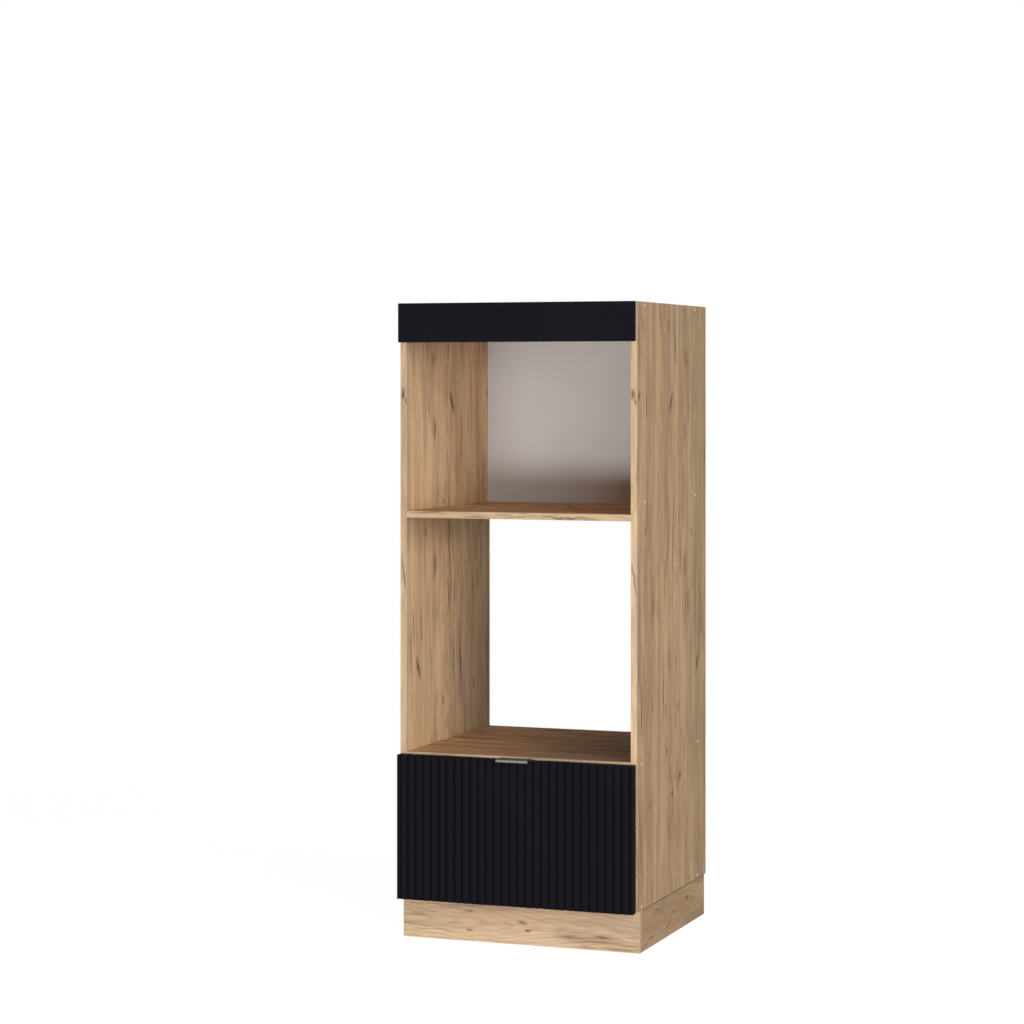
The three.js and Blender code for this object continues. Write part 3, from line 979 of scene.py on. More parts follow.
# Marks of the side panels' print, across from the board's middle and along its height.
SIDE_MARKS = marks(
    (0.004, 1.290, 0.018, 0.040, 0.80, 0.52),
    (-0.247, 1.308, 0.010, 0.018, 0.9, 0.1),
    (-0.016, 1.474, 0.010, 0.026, 0.55, 0.0),
    (0.117, 1.402, 0.007, 0.034, 0.65, 0.0),
    (0.133, 1.395, 0.007, 0.030, 0.55, 0.0),
    (0.119, 1.222, 0.008, 0.048, 0.78, 0.0),
    (0.021, 0.965, 0.006, 0.215, 0.78, 0.045),
    (0.118, 0.890, 0.018, 0.052, 0.55, 0.0),
    (-0.198, 0.989, 0.008, 0.020, 0.95, 0.0),
    (-0.200, 0.890, 0.010, 0.110, 0.38, 0.02),
    (0.176, 0.970, 0.009, 0.015, 0.70, 0.0),
    (0.225, 0.643, 0.013, 0.038, 0.95, 0.50),
    (-0.058, 0.612, 0.006, 0.140, 0.80, 0.012),
    (-0.009, 0.667, 0.006, 0.078, 0.72, 0.01),
    (-0.146, 0.570, 0.009, 0.022, 0.70, 0.0),
    (0.063, 0.548, 0.009, 0.022, 0.65, 0.0),
    (0.077, 0.377, 0.013, 0.016, 0.95, 0.2),
    (0.015, 0.342, 0.012, 0.013, 0.90, 0.0),
    (-0.030, 0.449, 0.011, 0.014, 0.55, 0.0),
    (-0.163, 0.335, 0.008, 0.024, 0.85, 0.0),
    (-0.016, 0.256, 0.010, 0.030, 0.55, 0.0),
    (0.124, 0.208, 0.008, 0.028, 0.60, 0.0),
)
LEFT_MARKS = SIDE_MARKS + marks(
    (0.020, 0.898, 0.005, 0.100, 0.70, 0.151),
    (-0.051, 0.644, 0.006, 0.120, 0.80, 0.0),
    (0.064, 1.044, 0.009, 0.010, 0.80, 0.0),
    (0.113, 1.227, 0.006, 0.030, 0.60, 0.0),
    (-0.003, 0.630, 0.007, 0.020, 0.60, 0.0),
)
BAND_MIDDLE = 0.292
EDGE_MARKS = tuple(
    mark for middle in (-BAND_MIDDLE, BAND_MIDDLE) for mark in marks(
        (middle - 0.002, 1.312, 0.007, 0.020, 0.85, 0.1),
        (middle + 0.004, 1.296, 0.005, 0.014, 0.70, -0.1),
        (middle, 0.880, 0.0045, 0.058, 0.70, -0.12),
    )
)
SHELF_EDGE_MARKS = marks(
    (-1.020, 0.120, 0.0036, 0.100, 0.80, 0.01),
    (-1.026, 0.020, 0.0022, 0.060, 0.50, 0.0),
)
PLINTH_FRONT_MARKS = marks(
    (-0.052, 0.005, 0.007, 0.015, 0.70, 0.2),
    (-0.036, 0.022, 0.005, 0.012, 0.80, -0.2),
    (-0.028, -0.128, 0.004, 0.016, 0.80, 0.0),
    (-0.030, 0.205, 0.004, 0.030, 0.80, 0.0),
    (-0.026, 0.120, 0.003, 0.050, 0.55, 0.02),
    (-0.072, -0.130, 0.004, 0.016, 0.60, 0.0),
)
PLINTH_SIDE_MARKS = marks(
    (-0.030, -0.010, 0.005, 0.034, 0.90, -0.25),
    (-0.068, 0.135, 0.009, 0.028, 0.60, -0.1),
    (-0.022, -0.150, 0.004, 0.026, 0.75, -0.1),
    (-0.052, 0.040, 0.003, 0.060, 0.55, -0.04),
    (-0.080, -0.100, 0.004, 0.040, 0.55, 0.0),
)

# Besides their tint, the factors on each board's print are painted light and shade, so one oak
# print is paler on the left wall than on the right side.
FINISHES = {
    # Painted shade towards the back of the right side's outer face, and painted light in its
    # middle.
    "side_right": WoodDecor(
        "oak upright", marks=SIDE_MARKS, painted_light_and_tint=(0.965, 0.96, 0.955), painted_light_and_shade=painted_light_and_shade(
            (0.300, 0.38, 0.82, 0.016, 0.36, 2.2, 0.82),
            (0.300, 0.02, 0.78, 0.016, 0.20, 0.34, 1.13),
        ),
    ),
    # The left wall's print is paled as painted light. Painted shade falls at the lower bay's rear,
    # low at the front and just under the microwave shelf, and painted light high at the back and
    # low in the middle.
    "side_left": WoodDecor(
        "oak upright turned round", marks=LEFT_MARKS, turned_round=True, streaks=0.8,
        painted_light_and_tint=(1.27, 1.29, 1.31), painted_light_and_shade=painted_light_and_shade(
            (-0.284, 0.34, 0.55, 0.016, 0.52, 0.75, 0.53),
            (-0.284, -0.24, 0.72, 0.016, 0.22, 0.42, 0.86),
            (-0.284, 0.26, 1.30, 0.016, 0.42, 0.50, 1.09),
            (-0.284, 0.0, 0.985, 0.016, 0.9, 0.080, 0.76),
            (-0.284, 0.02, 0.70, 0.016, 0.20, 0.30, 1.11),
        ),
    ),
    # Painted light on the lower right band and painted shade on the left band.
    "upright_band": WoodDecor(
        "oak band upright", marks=EDGE_MARKS, face_axis="X", streaks=0.45, figure=0,
        painted_light_and_tint=(1.05, 1.09, 1.18), painted_light_and_shade=painted_light_and_shade(
            (BAND_MIDDLE, -0.26, 0.68, 0.2, 0.2, 0.55, 1.16),
            (-BAND_MIDDLE, -0.26, 0.90, 0.2, 0.2, 1.2, 0.92),
        ),
    ),
    # The shelves' print is paled as painted light. Painted shade darkens the right of the oven
    # shelf's top, and painted light paints the right of the microwave shelf's top.
    "shelf": WoodDecor(
        "oak across", grain=Grain.ACROSS, painted_light_and_tint=(1.28, 1.20, 1.21), specular=0.004, painted_light_and_shade=painted_light_and_shade(
            (0.34, 0.02, 0.442, 0.72, 0.8, 0.14, 0.30),
            (0.30, 0.10, 1.030, 0.36, 0.5, 0.014, 1.16),
        ),
    ),
    "shelf_band": WoodDecor(
        "oak band across", grain=Grain.ACROSS, marks=SHELF_EDGE_MARKS, face_axis="X",
        streaks=0.9, figure=0, painted_light_and_tint=(0.87, 0.91, 0.96),
    ),
    "plinth_front": WoodDecor(
        "oak plinth front", grain=Grain.ACROSS, marks=PLINTH_FRONT_MARKS, face_axis="X",
        streaks=0.66, figure=0.14, heart=(-0.05, -0.24, 0.0), painted_light_and_tint=(1.03, 1.09, 1.20),
    ),
    # The plinth sides' print is darkened as painted shade, with a line of painted shade along the
    # top where the side panel sits on them.
    "plinth_side": WoodDecor(
        "oak plinth side", grain=Grain.DEEP, marks=PLINTH_SIDE_MARKS, streaks=1.3, figure=0.11,
        heart=(0.3, -0.055, 0.0), painted_light_and_tint=(0.815, 0.80, 0.80),
        painted_light_and_shade=painted_light_and_shade((0.0, 0.0, 0.101, 9.0, 9.0, 0.006, 0.25)),
    ),
    "beech": WoodDecor(
        "beech", grain=Grain.ACROSS, light=tone(222, 194, 152), middle=tone(208, 176, 132),
        tint=tone(204, 170, 128), dark=tone(170, 132, 92), streaks=0.25, figure=0,
    ),
    "cap": SkinFinish(
        "oak cap", first=tone(232, 207, 170), second=tone(224, 198, 160), gloss=0.42, bump=0.08,
        bumps=500,
    ),
    "lacquer": SkinFinish(
        "black lacquer", specular=0.004, first=(0.0086, 0.0081, 0.0112, 1),
        second=(0.0094, 0.0089, 0.0121, 1), gloss=0.5, bump=0.05, bumps=1400,
    ),
    # A darker copy of the black lacquer: painted shade in the flutes.
    "flute_lacquer": SkinFinish(
        "black lacquer with painted shade in the flutes", specular=0.002, first=(0.0054, 0.0051, 0.0070, 1),
        second=(0.0060, 0.0057, 0.0078, 1), gloss=0.6, bump=0.05, bumps=1400,
    ),
    "melamine": SkinFinish(
        "white melamine", specular=0.35, first=tone(228, 226, 221), second=tone(222, 220, 214),
        gloss=0.45, bump=0.07, bumps=1100,
    ),
    # Painted light at the back's lower right and painted shade at its upper left.
    "hardboard": SkinFinish(
        "white hardboard", specular=0.12, first=tone(200, 197, 196), second=tone(195, 192, 190),
        gloss=0.48, bump=0.08, bumps=650, painted_light_and_shade=painted_light_and_shade(
            (0.34, 0.286, 1.00, 0.66, 0.1, 0.20, 1.45),
            (-0.30, 0.286, 1.50, 0.40, 0.1, 0.32, 0.86),
        ),
    ),
    "raw_hardboard": SkinFinish(
        "raw hardboard", specular=0.2, first=tone(152, 112, 74), second=tone(132, 94, 60),
        gloss=0.8, bump=0.35, bumps=420,
    ),
    "chipboard": ChipFinish("raw chipboard", specular=0.2),
    # Raw chipboard darkened as painted shade, for recesses and the seams round the caps.
    "drilled": ChipFinish(
        "raw chipboard with painted shade", specular=0.1, pale=tone(92, 70, 50),
        deep=tone(58, 42, 30),
    ),
    "plastic": SkinFinish(
        "black plastic", specular=0.4, first=tone(34, 34, 36), second=tone(40, 40, 42),
        gloss=0.5, bump=0.18, bumps=1800,
    ),
    "aluminium": MetalFinish(
        "brushed aluminium", first=tone(90, 90, 91), second=tone(108, 108, 109), gloss=0.38,
        bump=0.08,
    ),
    # A darker copy of the aluminium for faces that look up: painted shade and painted dark
    # reflection on the handle's top.
    "aluminium_top": MetalFinish(
        "brushed aluminium with painted shade on the top", first=tone(44, 44, 43), second=tone(56, 56, 54),
        gloss=0.55, bump=0.08,
    ),
    "zinc": MetalFinish(
        "zinc plated steel", grain=Grain.DEEP, first=tone(150, 153, 158),
        second=tone(186, 187, 184), gloss=0.3, bump=0.06,
    ),
    "ball_steel": MetalFinish(
        "bearing steel", first=tone(176, 178, 182), second=tone(196, 198, 200), gloss=0.1,
        bump=0.0,
    ),
}


class Palette:
    """Every finish of the cabinet, built once, under its name in the list above."""

    def __init__(self, effects: Effects) -> None:
        """Builds the materials from the shared effects."""
        for name, finish in FINISHES.items():
            setattr(self, name, finish.build(effects))


# ---------------------------------------------------------------- boards and small screws


def dress_board(node: str, finish: Material, slot: str, body: str,
                trims: Sequence[tuple[int, float, float]] = (),
                opened: Material | None = None) -> Workpiece:
    """Copies a packed board, rounds the edges on its outer faces and dresses it.

    Args:
        node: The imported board.
        finish: The surface of its faces.
        slot: The record's material slot.
        body: The body that it rides on.
        trims: Ends that make room for a band: the axis, its level and the step inwards.
        opened: The surface inside its grooves and holes, where that differs.

    Returns:
        The finished board.
    """
    board = Workpiece.copy_of(node)
    for axis, level, step in trims:
        board.pick_on(axis, level)
        board.move(**{"xyz"[axis]: step})
    points = [point.co for point in bmesh.from_edit_mesh(board.thing.data).verts]
    low = Vector([min(point[axis] for point in points) for axis in range(3)])
    high = Vector([max(point[axis] for point in points) for axis in range(3)])
    sides = [edge_at(**{"xyz"[axis]: end[axis]}) for axis in range(3) for end in (low, high)]
    board.round_sharp(ARRIS, 2, 50, lambda edge: any(side(edge) for side in sides))
    board.press_within(low, high)
    board.smooth().dress(finish, slot, body, node)
    if opened:
        corners = [Vector(corner) for corner in board.thing.bound_box]
        first, last = corners[0], corners[6]
        board.paint(opened, lambda face: all(
            min(face.center[axis] - first[axis], last[axis] - face.center[axis]) > 2 * ARRIS
            for axis in range(3)
        ))
    return board


def edge_band(name: str, low: Vector, high: Vector, finish: Material, **outer: float) -> None:
    """Lays a thin band on a carcass board's edge.

    Args:
        name: The band's name.
        low: Its lowest corner.
        high: Its highest corner.
        finish: Its surface.
        outer: The level of its outer face, whose edges are rounded.
    """
    strip = Workpiece.block(name, low, high)
    strip.round_sharp(ARRIS, test=edge_at(**outer))
    strip.smooth().dress(finish, "oak_board", "carcass")


@dataclass
class SmallScrews:
    """Heads of the small wood screws, with a cross for the driver."""

    palette: Palette
    radius: float = 3.4 * MM
    height: float = 1.6 * MM
    rounded_share: float = 0.35
    slot_half: float = 0.45 * MM
    slot_reach: float = 1.9 * MM
    slot_depth: float = 0.8 * MM
    slot_slack: float = 1.02
    facets: int = 20

    def pattern(self) -> Workpiece:
        """Models one head that stands on the origin along Z.

        Returns:
            The head, to be copied.
        """
        head = Workpiece.rod("screw_pattern", self.radius, self.height, self.facets)
        head.pick(Pick.FACES, looks_up)
        bpy.ops.mesh.inset(thickness=self.radius - self.slot_reach)
        head.round_sharp(self.rounded_share * self.height, 3, 60, lambda edge: all(
            point.co.z > self.height / 2 for point in edge.verts
        ))
        for reach in (-self.slot_half, self.slot_half):
            for normal in (Vector((1, 0, 0)), Vector((0, 1, 0))):
                head.slice(normal * reach, normal)

        def in_cross(face: bmesh.types.BMFace) -> bool:
            """Says whether a face is part of the cross in the head's flat top.

            Args:
                face: A face of the head.

            Returns:
                True within the cross.
            """
            x, y, _ = face.calc_center_median()
            on_top = face.normal.z > 0.99 and math.hypot(x, y) < self.slot_slack * self.slot_reach
            return on_top and min(abs(x), abs(y)) < self.slot_half

        if head.pick(Pick.FACES, in_cross):
            head.draw_out(z=-self.slot_depth)
        return head.outward().smooth()

    def drive(self, name: str, places: Sequence[tuple[Vector, Vector]], body: str,
              proud: float | None = None) -> None:
        """Sets a row of heads on a surface.

        Args:
            name: Name of the whole row.
            places: Where each head sits and which way it faces.
            body: The body that the row rides on.
            proud: How far the heads stand out, where that is less than their height.
        """
        pattern = self.pattern()
        sink = Matrix.Translation((0, 0, 0.0 if proud is None else proud - self.height))
        heads = []
        for number, (place, facing) in enumerate(places):
            turn = facing.to_track_quat("Z", "Y").to_matrix().to_4x4()
            heads.append(pattern.twin(f"{name}_{number}", Matrix.Translation(place) @ turn @ sink))
        pattern.drop()
        row = heads[0].join(heads[1:])
        row.thing.name = name
        row.dress(self.palette.zinc, "zinc_steel", body)


# ---------------------------------------------------------------- carcass


@dataclass
class Carcass:
    """The oak boards with their edge bands, the two backs and the cover caps."""

    palette: Palette
    cap_radius: float = 5.6 * MM
    cap_depth: float = 1.15 * MM
    cap_face: float = 4.8 * MM
    cap_rim_share: float = 0.25
    cap_dome_share: float = 0.94
    cap_steps: int = 5
    cap_facets: int = 32
    spare_hole_lift: float = 37 * MM

    def build(self) -> None:
        """Builds every fixed board and the caps."""
        self.board("side_panel_right", self.palette.side_right, self.palette.upright_band)
        self.board("side_panel_left", self.palette.side_left, self.palette.upright_band)
        for node in ("top_panel", "bottom_panel", "oven_shelf", "microwave_shelf"):
            self.board(node, self.palette.shelf, self.palette.shelf_band)
        for node in ("back_panel_upper", "back_panel_lower"):
            back = dress_board(node, self.palette.hardboard, "white_hardboard", "carcass")
            back.paint(self.palette.raw_hardboard, lambda face: face.normal.y > -0.5)
        self.caps()

    def board(self, node: str, finish: Material, band_finish: Material) -> None:
        """Builds a board with a band on its front edge.

        Args:
            node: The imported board.
            finish: The surface of its faces.
            band_finish: The surface of its front band.
        """
        low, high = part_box(node)
        # Inside its grooves and holes the board gets chipboard with painted shade.
        dress_board(node, finish, "oak_board", "carcass", [(1, low.y, EDGE_BAND)],
                    self.palette.drilled)
        band_high = Vector((high.x, low.y + EDGE_BAND, high.z))
        edge_band(f"{node}_front_band", low, band_high, band_finish, y=low.y)

    def cap_pattern(self) -> Workpiece:
        """Models one domed cap that stands on the origin along Z.

        Returns:
            The cap, to be copied.
        """
        rim = self.cap_rim_share * self.cap_depth
        cap = Workpiece.rod("cap_pattern", self.cap_radius, rim, self.cap_facets)
        cap.pick(Pick.FACES, looks_up)
        shares = [step / self.cap_steps for step in range(self.cap_steps + 1)]
        for share0, share1 in pairwise(shares):
            width = self.cap_dome_share * self.cap_radius * (share1 - share0)
            rise = math.sin(share1 * QUARTER_TURN) - math.sin(share0 * QUARTER_TURN)
            bpy.ops.mesh.inset(thickness=width, depth=(self.cap_depth - rim) * rise)
        return cap.smooth(60)

    def caps(self) -> None:
        """Seats a cap in every recess of both side panels, with a seam of painted shade round it.
        """
        pattern = self.cap_pattern()
        spare_z = sum(corner.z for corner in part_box("microwave_shelf")) / 2 + self.spare_hole_lift
        for word, side in SIDES.items():
            outer = max(abs(corner.x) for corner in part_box(f"side_panel_{word}"))
            turn = Matrix.Rotation(side * QUARTER_TURN, 4, "Y")
            for end in ENDS:
                spots = {}
                for level in ("top", "oven_shelf", "bottom"):
                    low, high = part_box(f"screw_{level}_{word}_{end}")
                    spots[level] = (low + high) / 2
                spots["spare"] = Vector((0, spots["top"].y, spare_z))
                for level, spot in spots.items():
                    seat = Vector((side * (outer - self.cap_depth), spot.y, spot.z))
                    cap = pattern.twin(f"cap_{level}_{word}_{end}", Matrix.Translation(seat) @ turn)
                    cap.dress(self.palette.cap, "oak_board", "carcass")
                    # The ring round the cap's face is painted shade: a dark seam.
                    cap.paint(self.palette.drilled, lambda face: math.hypot(
                        face.center.y - spot.y, face.center.z - spot.z
                    ) > self.cap_face)
        pattern.drop()


@dataclass
class Valance:
    """The black board over the microwave bay, and its two angle brackets."""

    palette: Palette
    screws: SmallScrews
    arris: float = 0.9 * MM
    fold: float = 1.8 * MM
    sheet: float = 2 * MM
    sheet_arris: float = 0.25 * MM
    screw_spread: float = 0.28
    screw_inset: float = 0.6

    def build(self) -> None:
        """Builds the board and both brackets with their screws."""
        board = Workpiece.block("dressed_valance", *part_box("valance"))
        board.round_sharp(self.arris, 3)
        board.smooth().dress(self.palette.lacquer, "black_front", "carcass", "valance")
        for word, side in SIDES.items():
            self.bracket(word, side)

    def bracket(self, word: str, side: int) -> None:
        """Builds one folded bracket and drives its four screws.

        Args:
            word: The bracket's side in words.
            side: -1 on the left, 1 on the right.
        """
        node = f"valance_bracket_{word}"
        low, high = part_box(node)
        corner_x = high.x if side > 0 else low.x
        bracket = Workpiece.copy_of(node)
        bracket.round_sharp(self.fold, 4, 50, edge_at(x=corner_x, y=low.y))
        bracket.round_sharp(self.sheet_arris, 1, 50)
        bracket.smooth().dress(self.palette.zinc, "zinc_steel", "carcass", node)
        reach = self.screw_inset * (high - low)
        step = self.screw_spread * (high.z - low.z)
        places = []
        for z in ((low.z + high.z) / 2 - step, (low.z + high.z) / 2 + step):
            on_side = Vector((corner_x - side * self.sheet, low.y + reach.y, z))
            on_front = Vector((corner_x - side * reach.x, low.y + self.sheet, z))
            places += [(on_side, Vector((-side, 0, 0))), (on_front, Vector((0, 1, 0)))]
        self.screws.drive(f"bracket_screws_{word}", places, "carcass")


# ---------------------------------------------------------------- drawer


@dataclass
class DrawerFront:
    """The fluted front and the folded handle over its top edge."""

    palette: Palette
    screws: SmallScrews
    pitch: float = 20 * MM
    flute_width: float = 5 * MM
    flute_depth: float = 3 * MM
    flute_steps: int = 10
    end_margin: float = 6 * MM
    arris: float = 0.45 * MM
    sheet: float = 1.9 * MM
    sheet_arris: float = 0.25 * MM
    lip_height: float = 6.8 * MM
    lip_corner: float = 1.5 * MM
    fold: float = 1.6 * MM
    fold_steps: int = 5
    screw_reach: float = 0.55
    screw_drop: float = 2 * MM
    screw_proud: float = 0.9 * MM

    def build(self) -> None:
        """Builds the front and the handle."""
        self.front()
        self.handle()

    def front(self) -> None:
        """Draws one flute in plan, repeats it across the front and draws it up."""
        low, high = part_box("drawer_front")
        half = self.pitch / 2
        front = Workpiece.plate(
            "dressed_drawer_front", Vector((-half, low.y, low.z)), Vector((half, high.y, low.z))
        )
        angles = [math.pi * step / self.flute_steps for step in range(self.flute_steps + 1)]
        cuts = [(-self.flute_width / 2 * math.cos(angle), math.sin(angle)) for angle in angles]
        for x, _ in cuts:
            front.slice(Vector((x, 0, 0)), Vector((1, 0, 0)))
        for x, depth in cuts[1:-1]:
            front.pick(Pick.POINTS, lambda point: abs(point.co.x - x) < TOUCH
                       and point.co.y < low.y + TOUCH)
            front.move(y=self.flute_depth * depth)
        count = int((high.x - low.x - 2 * self.end_margin) / self.pitch) + 1
        front.modify(
            "ARRAY", count=count, use_relative_offset=False, use_constant_offset=True,
            constant_offset_displace=(self.pitch, 0, 0), use_merge_vertices=True,
            merge_threshold=TOUCH,
        )
        front.pick(Pick.FACES)
        front.move(x=-self.pitch * (count - 1) / 2)
        front.draw_out(z=high.z - low.z)
        front.slice(high, Vector((1, 0, 0)), keep_inner=True)
        front.slice(low, Vector((-1, 0, 0)), keep_inner=True)
        front.outward()
        bpy.ops.mesh.dissolve_limited(angle_limit=math.radians(1))
        front.round_sharp(self.arris, 2, 45)
        front.smooth().dress(self.palette.lacquer, "black_front", "drawer", "drawer_front")
        # The flutes' walls and floors get the darker lacquer as painted shade.
        front.paint(self.palette.flute_lacquer, lambda face: abs(face.normal.z) < 0.1
                    and low.y + 0.3 * self.arris < face.center.y < low.y + self.flute_depth + TOUCH
                    and abs(face.center.x) < high.x - self.end_margin)

    def handle(self) -> None:
        """Folds the handle from a strip: down the back, over the top and down in front."""
        low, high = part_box("drawer_handle")
        top_low = Vector((low.x, low.y, high.z))
        handle = Workpiece.plate("dressed_drawer_handle", top_low, high)
        for y, drop in ((low.y, self.lip_height), (high.y, high.z - low.z)):
            handle.pick(Pick.EDGES, edge_at(y=y, z=high.z))
            handle.draw_out(z=-drop)
        handle.round_folds(self.fold, self.fold_steps)
        handle.thicken(self.sheet)
        handle.round_sharp(self.lip_corner, 4, 60, lambda edge: all(
            v.co.z < high.z - self.lip_height + TOUCH and abs(abs(v.co.x) - high.x) < TOUCH
            and v.co.y < low.y + 2 * self.sheet for v in edge.verts
        ))
        handle.round_sharp(self.sheet_arris, 2, 50)
        handle.smooth().dress(self.palette.aluminium, "handle_aluminium", "drawer", "drawer_handle")
        # Faces that look up get the darker aluminium as painted shade.
        handle.paint(self.palette.aluminium_top, lambda face: face.normal.z > 0.6)
        places = [
            (Vector((self.screw_reach * x, high.y, (low.z + high.z) / 2 - self.screw_drop)),
             Vector((0, 1, 0)))
            for x in (low.x, high.x)
        ]
        self.screws.drive("handle_screws", places, "drawer", self.screw_proud)


@dataclass
class DrawerBox:
    """The white box of the drawer: four walls, a bottom and the screws that join them."""

    palette: Palette
    screws: SmallScrews
    screw_margin: float = 35 * MM
    screw_reach: float = 0.75
    screw_proud: float = 0.3 * MM

    def build(self) -> None:
        """Builds the walls, the bottom and the screws."""
        for wall in ("side_left", "side_right", "box_front", "box_back"):
            dress_board(f"drawer_{wall}", self.palette.melamine, "white_board", "drawer",
                        opened=self.palette.chipboard)
        bottom = dress_board("drawer_bottom", self.palette.hardboard, "white_hardboard", "drawer")
        bottom.paint(self.palette.raw_hardboard, lambda face: face.normal.z < 0.5)
        for word, side in SIDES.items():
            self.corner_screws(word, side)
        low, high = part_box("drawer_box_front")
        places = [
            (Vector((x, high.y, z)), Vector((0, 1, 0)))
            for x in (self.screw_reach * low.x, self.screw_reach * high.x)
            for z in (low.z + 2 * self.screw_margin, high.z - self.screw_margin)
        ]
        self.screws.drive("front_screws", places, "drawer")

    def corner_screws(self, word: str, side: int) -> None:
        """Drives two screws into each end of a drawer side.

        Args:
            word: The drawer side's name.
            side: -1 on the left, 1 on the right.
        """
        low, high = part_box(f"drawer_side_{word}")
        outer = max(low.x, high.x, key=abs)
        places = []
        for wall in ("drawer_box_front", "drawer_box_back"):
            wall_low, wall_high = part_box(wall)
            for z in (low.z + self.screw_margin, high.z - self.screw_margin):
                place = Vector((outer, (wall_low.y + wall_high.y) / 2, z))
                places.append((place, Vector((side, 0, 0))))
        self.screws.drive(f"box_screws_{word}", places, "drawer", self.screw_proud)


@dataclass
class Runners:
    """Ball-bearing runners: three folded channels and two ball cages on each side."""

    palette: Palette
    screws: SmallScrews
    sheet: float = 1.2 * MM
    fold: float = 1.1 * MM
    fold_steps: int = 3
    cage_sheet: float = 0.7 * MM
    cage_gap: float = 0.5 * MM
    ball_radius: float = 1.9 * MM
    ball_facets: int = 16
    ball_rings: int = 10
    balls_per_track: int = 5
    hole_radius: float = 2.3 * MM
    hole_stretch: float = 1.8
    hole_facets: int = 20
    hole_reach: float = 4.8 * MM
    hole_spots: tuple[float, ...] = (101 * MM, 229 * MM, 357 * MM)
    screw_spots: tuple[float, ...] = (37 * MM, 165 * MM, 293 * MM, 421 * MM)
    screw_proud: float = 0.3 * MM

    def build(self) -> None:
        """Builds the channels and cages of both sides."""
        for word, side in SIDES.items():
            self.channel("outer", word, side, "carcass")
            self.channel("middle", word, side, f"runner_middle_{word}")
            self.channel("inner", word, side, "drawer")
            self.cage("outer", word, side)
            self.cage("inner", word, side)

    def folded(self, name: str, web: float, lip: float, low: Vector, high: Vector,
               sheet: float) -> Workpiece:
        """Folds a channel from a strip.

        Args:
            name: The piece's name.
            web: X of the web's outer face.
            lip: X of the edges of both lips.
            low: Its lowest corner.
            high: Its highest corner.
            sheet: Thickness of the sheet.

        Returns:
            The channel with rounded folds.
        """
        channel = Workpiece.plate(name, low, Vector((high.x, high.y, low.z)))
        channel.pick_on(0, web)
        channel.draw_out(z=high.z - low.z)
        channel.pick_on(2, high.z)
        channel.draw_out(x=lip - web)
        channel.round_folds(self.fold, self.fold_steps)
        faces = bmesh.from_edit_mesh(channel.thing.data).faces
        web_normal = next(face.normal.x for face in faces if abs(face.normal.x) > 0.9)
        if web_normal * (web - lip) < 0:
            bpy.ops.mesh.flip_normals()
        channel.thicken(sheet)
        return channel

    def channel(self, member: str, word: str, side: int, body: str) -> None:
        """Builds one channel with its oblong holes and, where it is fixed, its screws.

        Args:
            member: Which of the three channels.
            word: The runner's side in words.
            side: -1 on the left, 1 on the right.
            body: The body that the channel rides on.
        """
        node = f"runner_{member}_{word}"
        low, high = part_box(node)
        near, far = (high.x, low.x) if side > 0 else (low.x, high.x)
        web, lip = (far, near) if member == "inner" else (near, far)
        channel = self.folded(f"dressed_{node}", web, lip, low, high, self.sheet)
        middle_z = (low.z + high.z) / 2
        holes = []
        for spot in self.hole_spots:
            hole = Workpiece.rod("hole", self.hole_radius, 2 * self.hole_reach, self.hole_facets)
            hole.pick(Pick.POINTS)
            hole.resize((1, self.hole_stretch, 1))
            start = Matrix.Translation((web - self.hole_reach, low.y + spot, middle_z))
            hole.place(start @ Matrix.Rotation(QUARTER_TURN, 4, "Y"))
            holes.append(hole)
        channel.cut_by(holes)
        channel.smooth().dress(self.palette.zinc, "zinc_steel", body, node)
        if member != "middle":
            way = math.copysign(1, lip - web)
            places = [
                (Vector((web + way * self.sheet, low.y + spot, middle_z)), Vector((way, 0, 0)))
                for spot in self.screw_spots
            ]
            proud = self.screw_proud if member == "outer" else None
            self.screws.drive(f"runner_screws_{member}_{word}", places, body, proud)

    def cage(self, member: str, word: str, side: int) -> None:
        """Builds one cage and the balls that it holds.

        Args:
            member: Which of the two cages.
            word: The runner's side in words.
            side: -1 on the left, 1 on the right.
        """
        node = f"ball_cage_{member}_{word}"
        low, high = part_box(node)
        near, far = (high.x, low.x) if side > 0 else (low.x, high.x)
        middle_z = (low.z + high.z) / 2
        track = (high.z - low.z) / 2 - self.ball_radius
        half = track + self.cage_sheet / 2
        strip_low = Vector((low.x, low.y, middle_z - half))
        strip_high = Vector((high.x, high.y, middle_z + half))
        cage = self.folded(f"dressed_{node}", near, far, strip_low, strip_high, self.cage_sheet)
        cage.smooth().dress(self.palette.plastic, "black_plastic", node, node)
        ball_x = far + side * (self.cage_gap + self.ball_radius)
        balls = []
        for number in range(self.balls_per_track):
            y = low.y + (number + 0.5) / self.balls_per_track * (high.y - low.y)
            for z in (middle_z - track, middle_z + track):
                clear_bench()
                bpy.ops.mesh.primitive_uv_sphere_add(
                    segments=self.ball_facets, ring_count=self.ball_rings,
                    radius=self.ball_radius, location=(ball_x, y, z),
                )
                balls.append(Workpiece.started(f"ball_{number}"))
        row = balls[0].join(balls[1:])
        row.thing.name = f"balls_{member}_{word}"
        row.smooth().dress(self.palette.ball_steel, "zinc_steel", node)


# ---------------------------------------------------------------- plinth, legs and feet


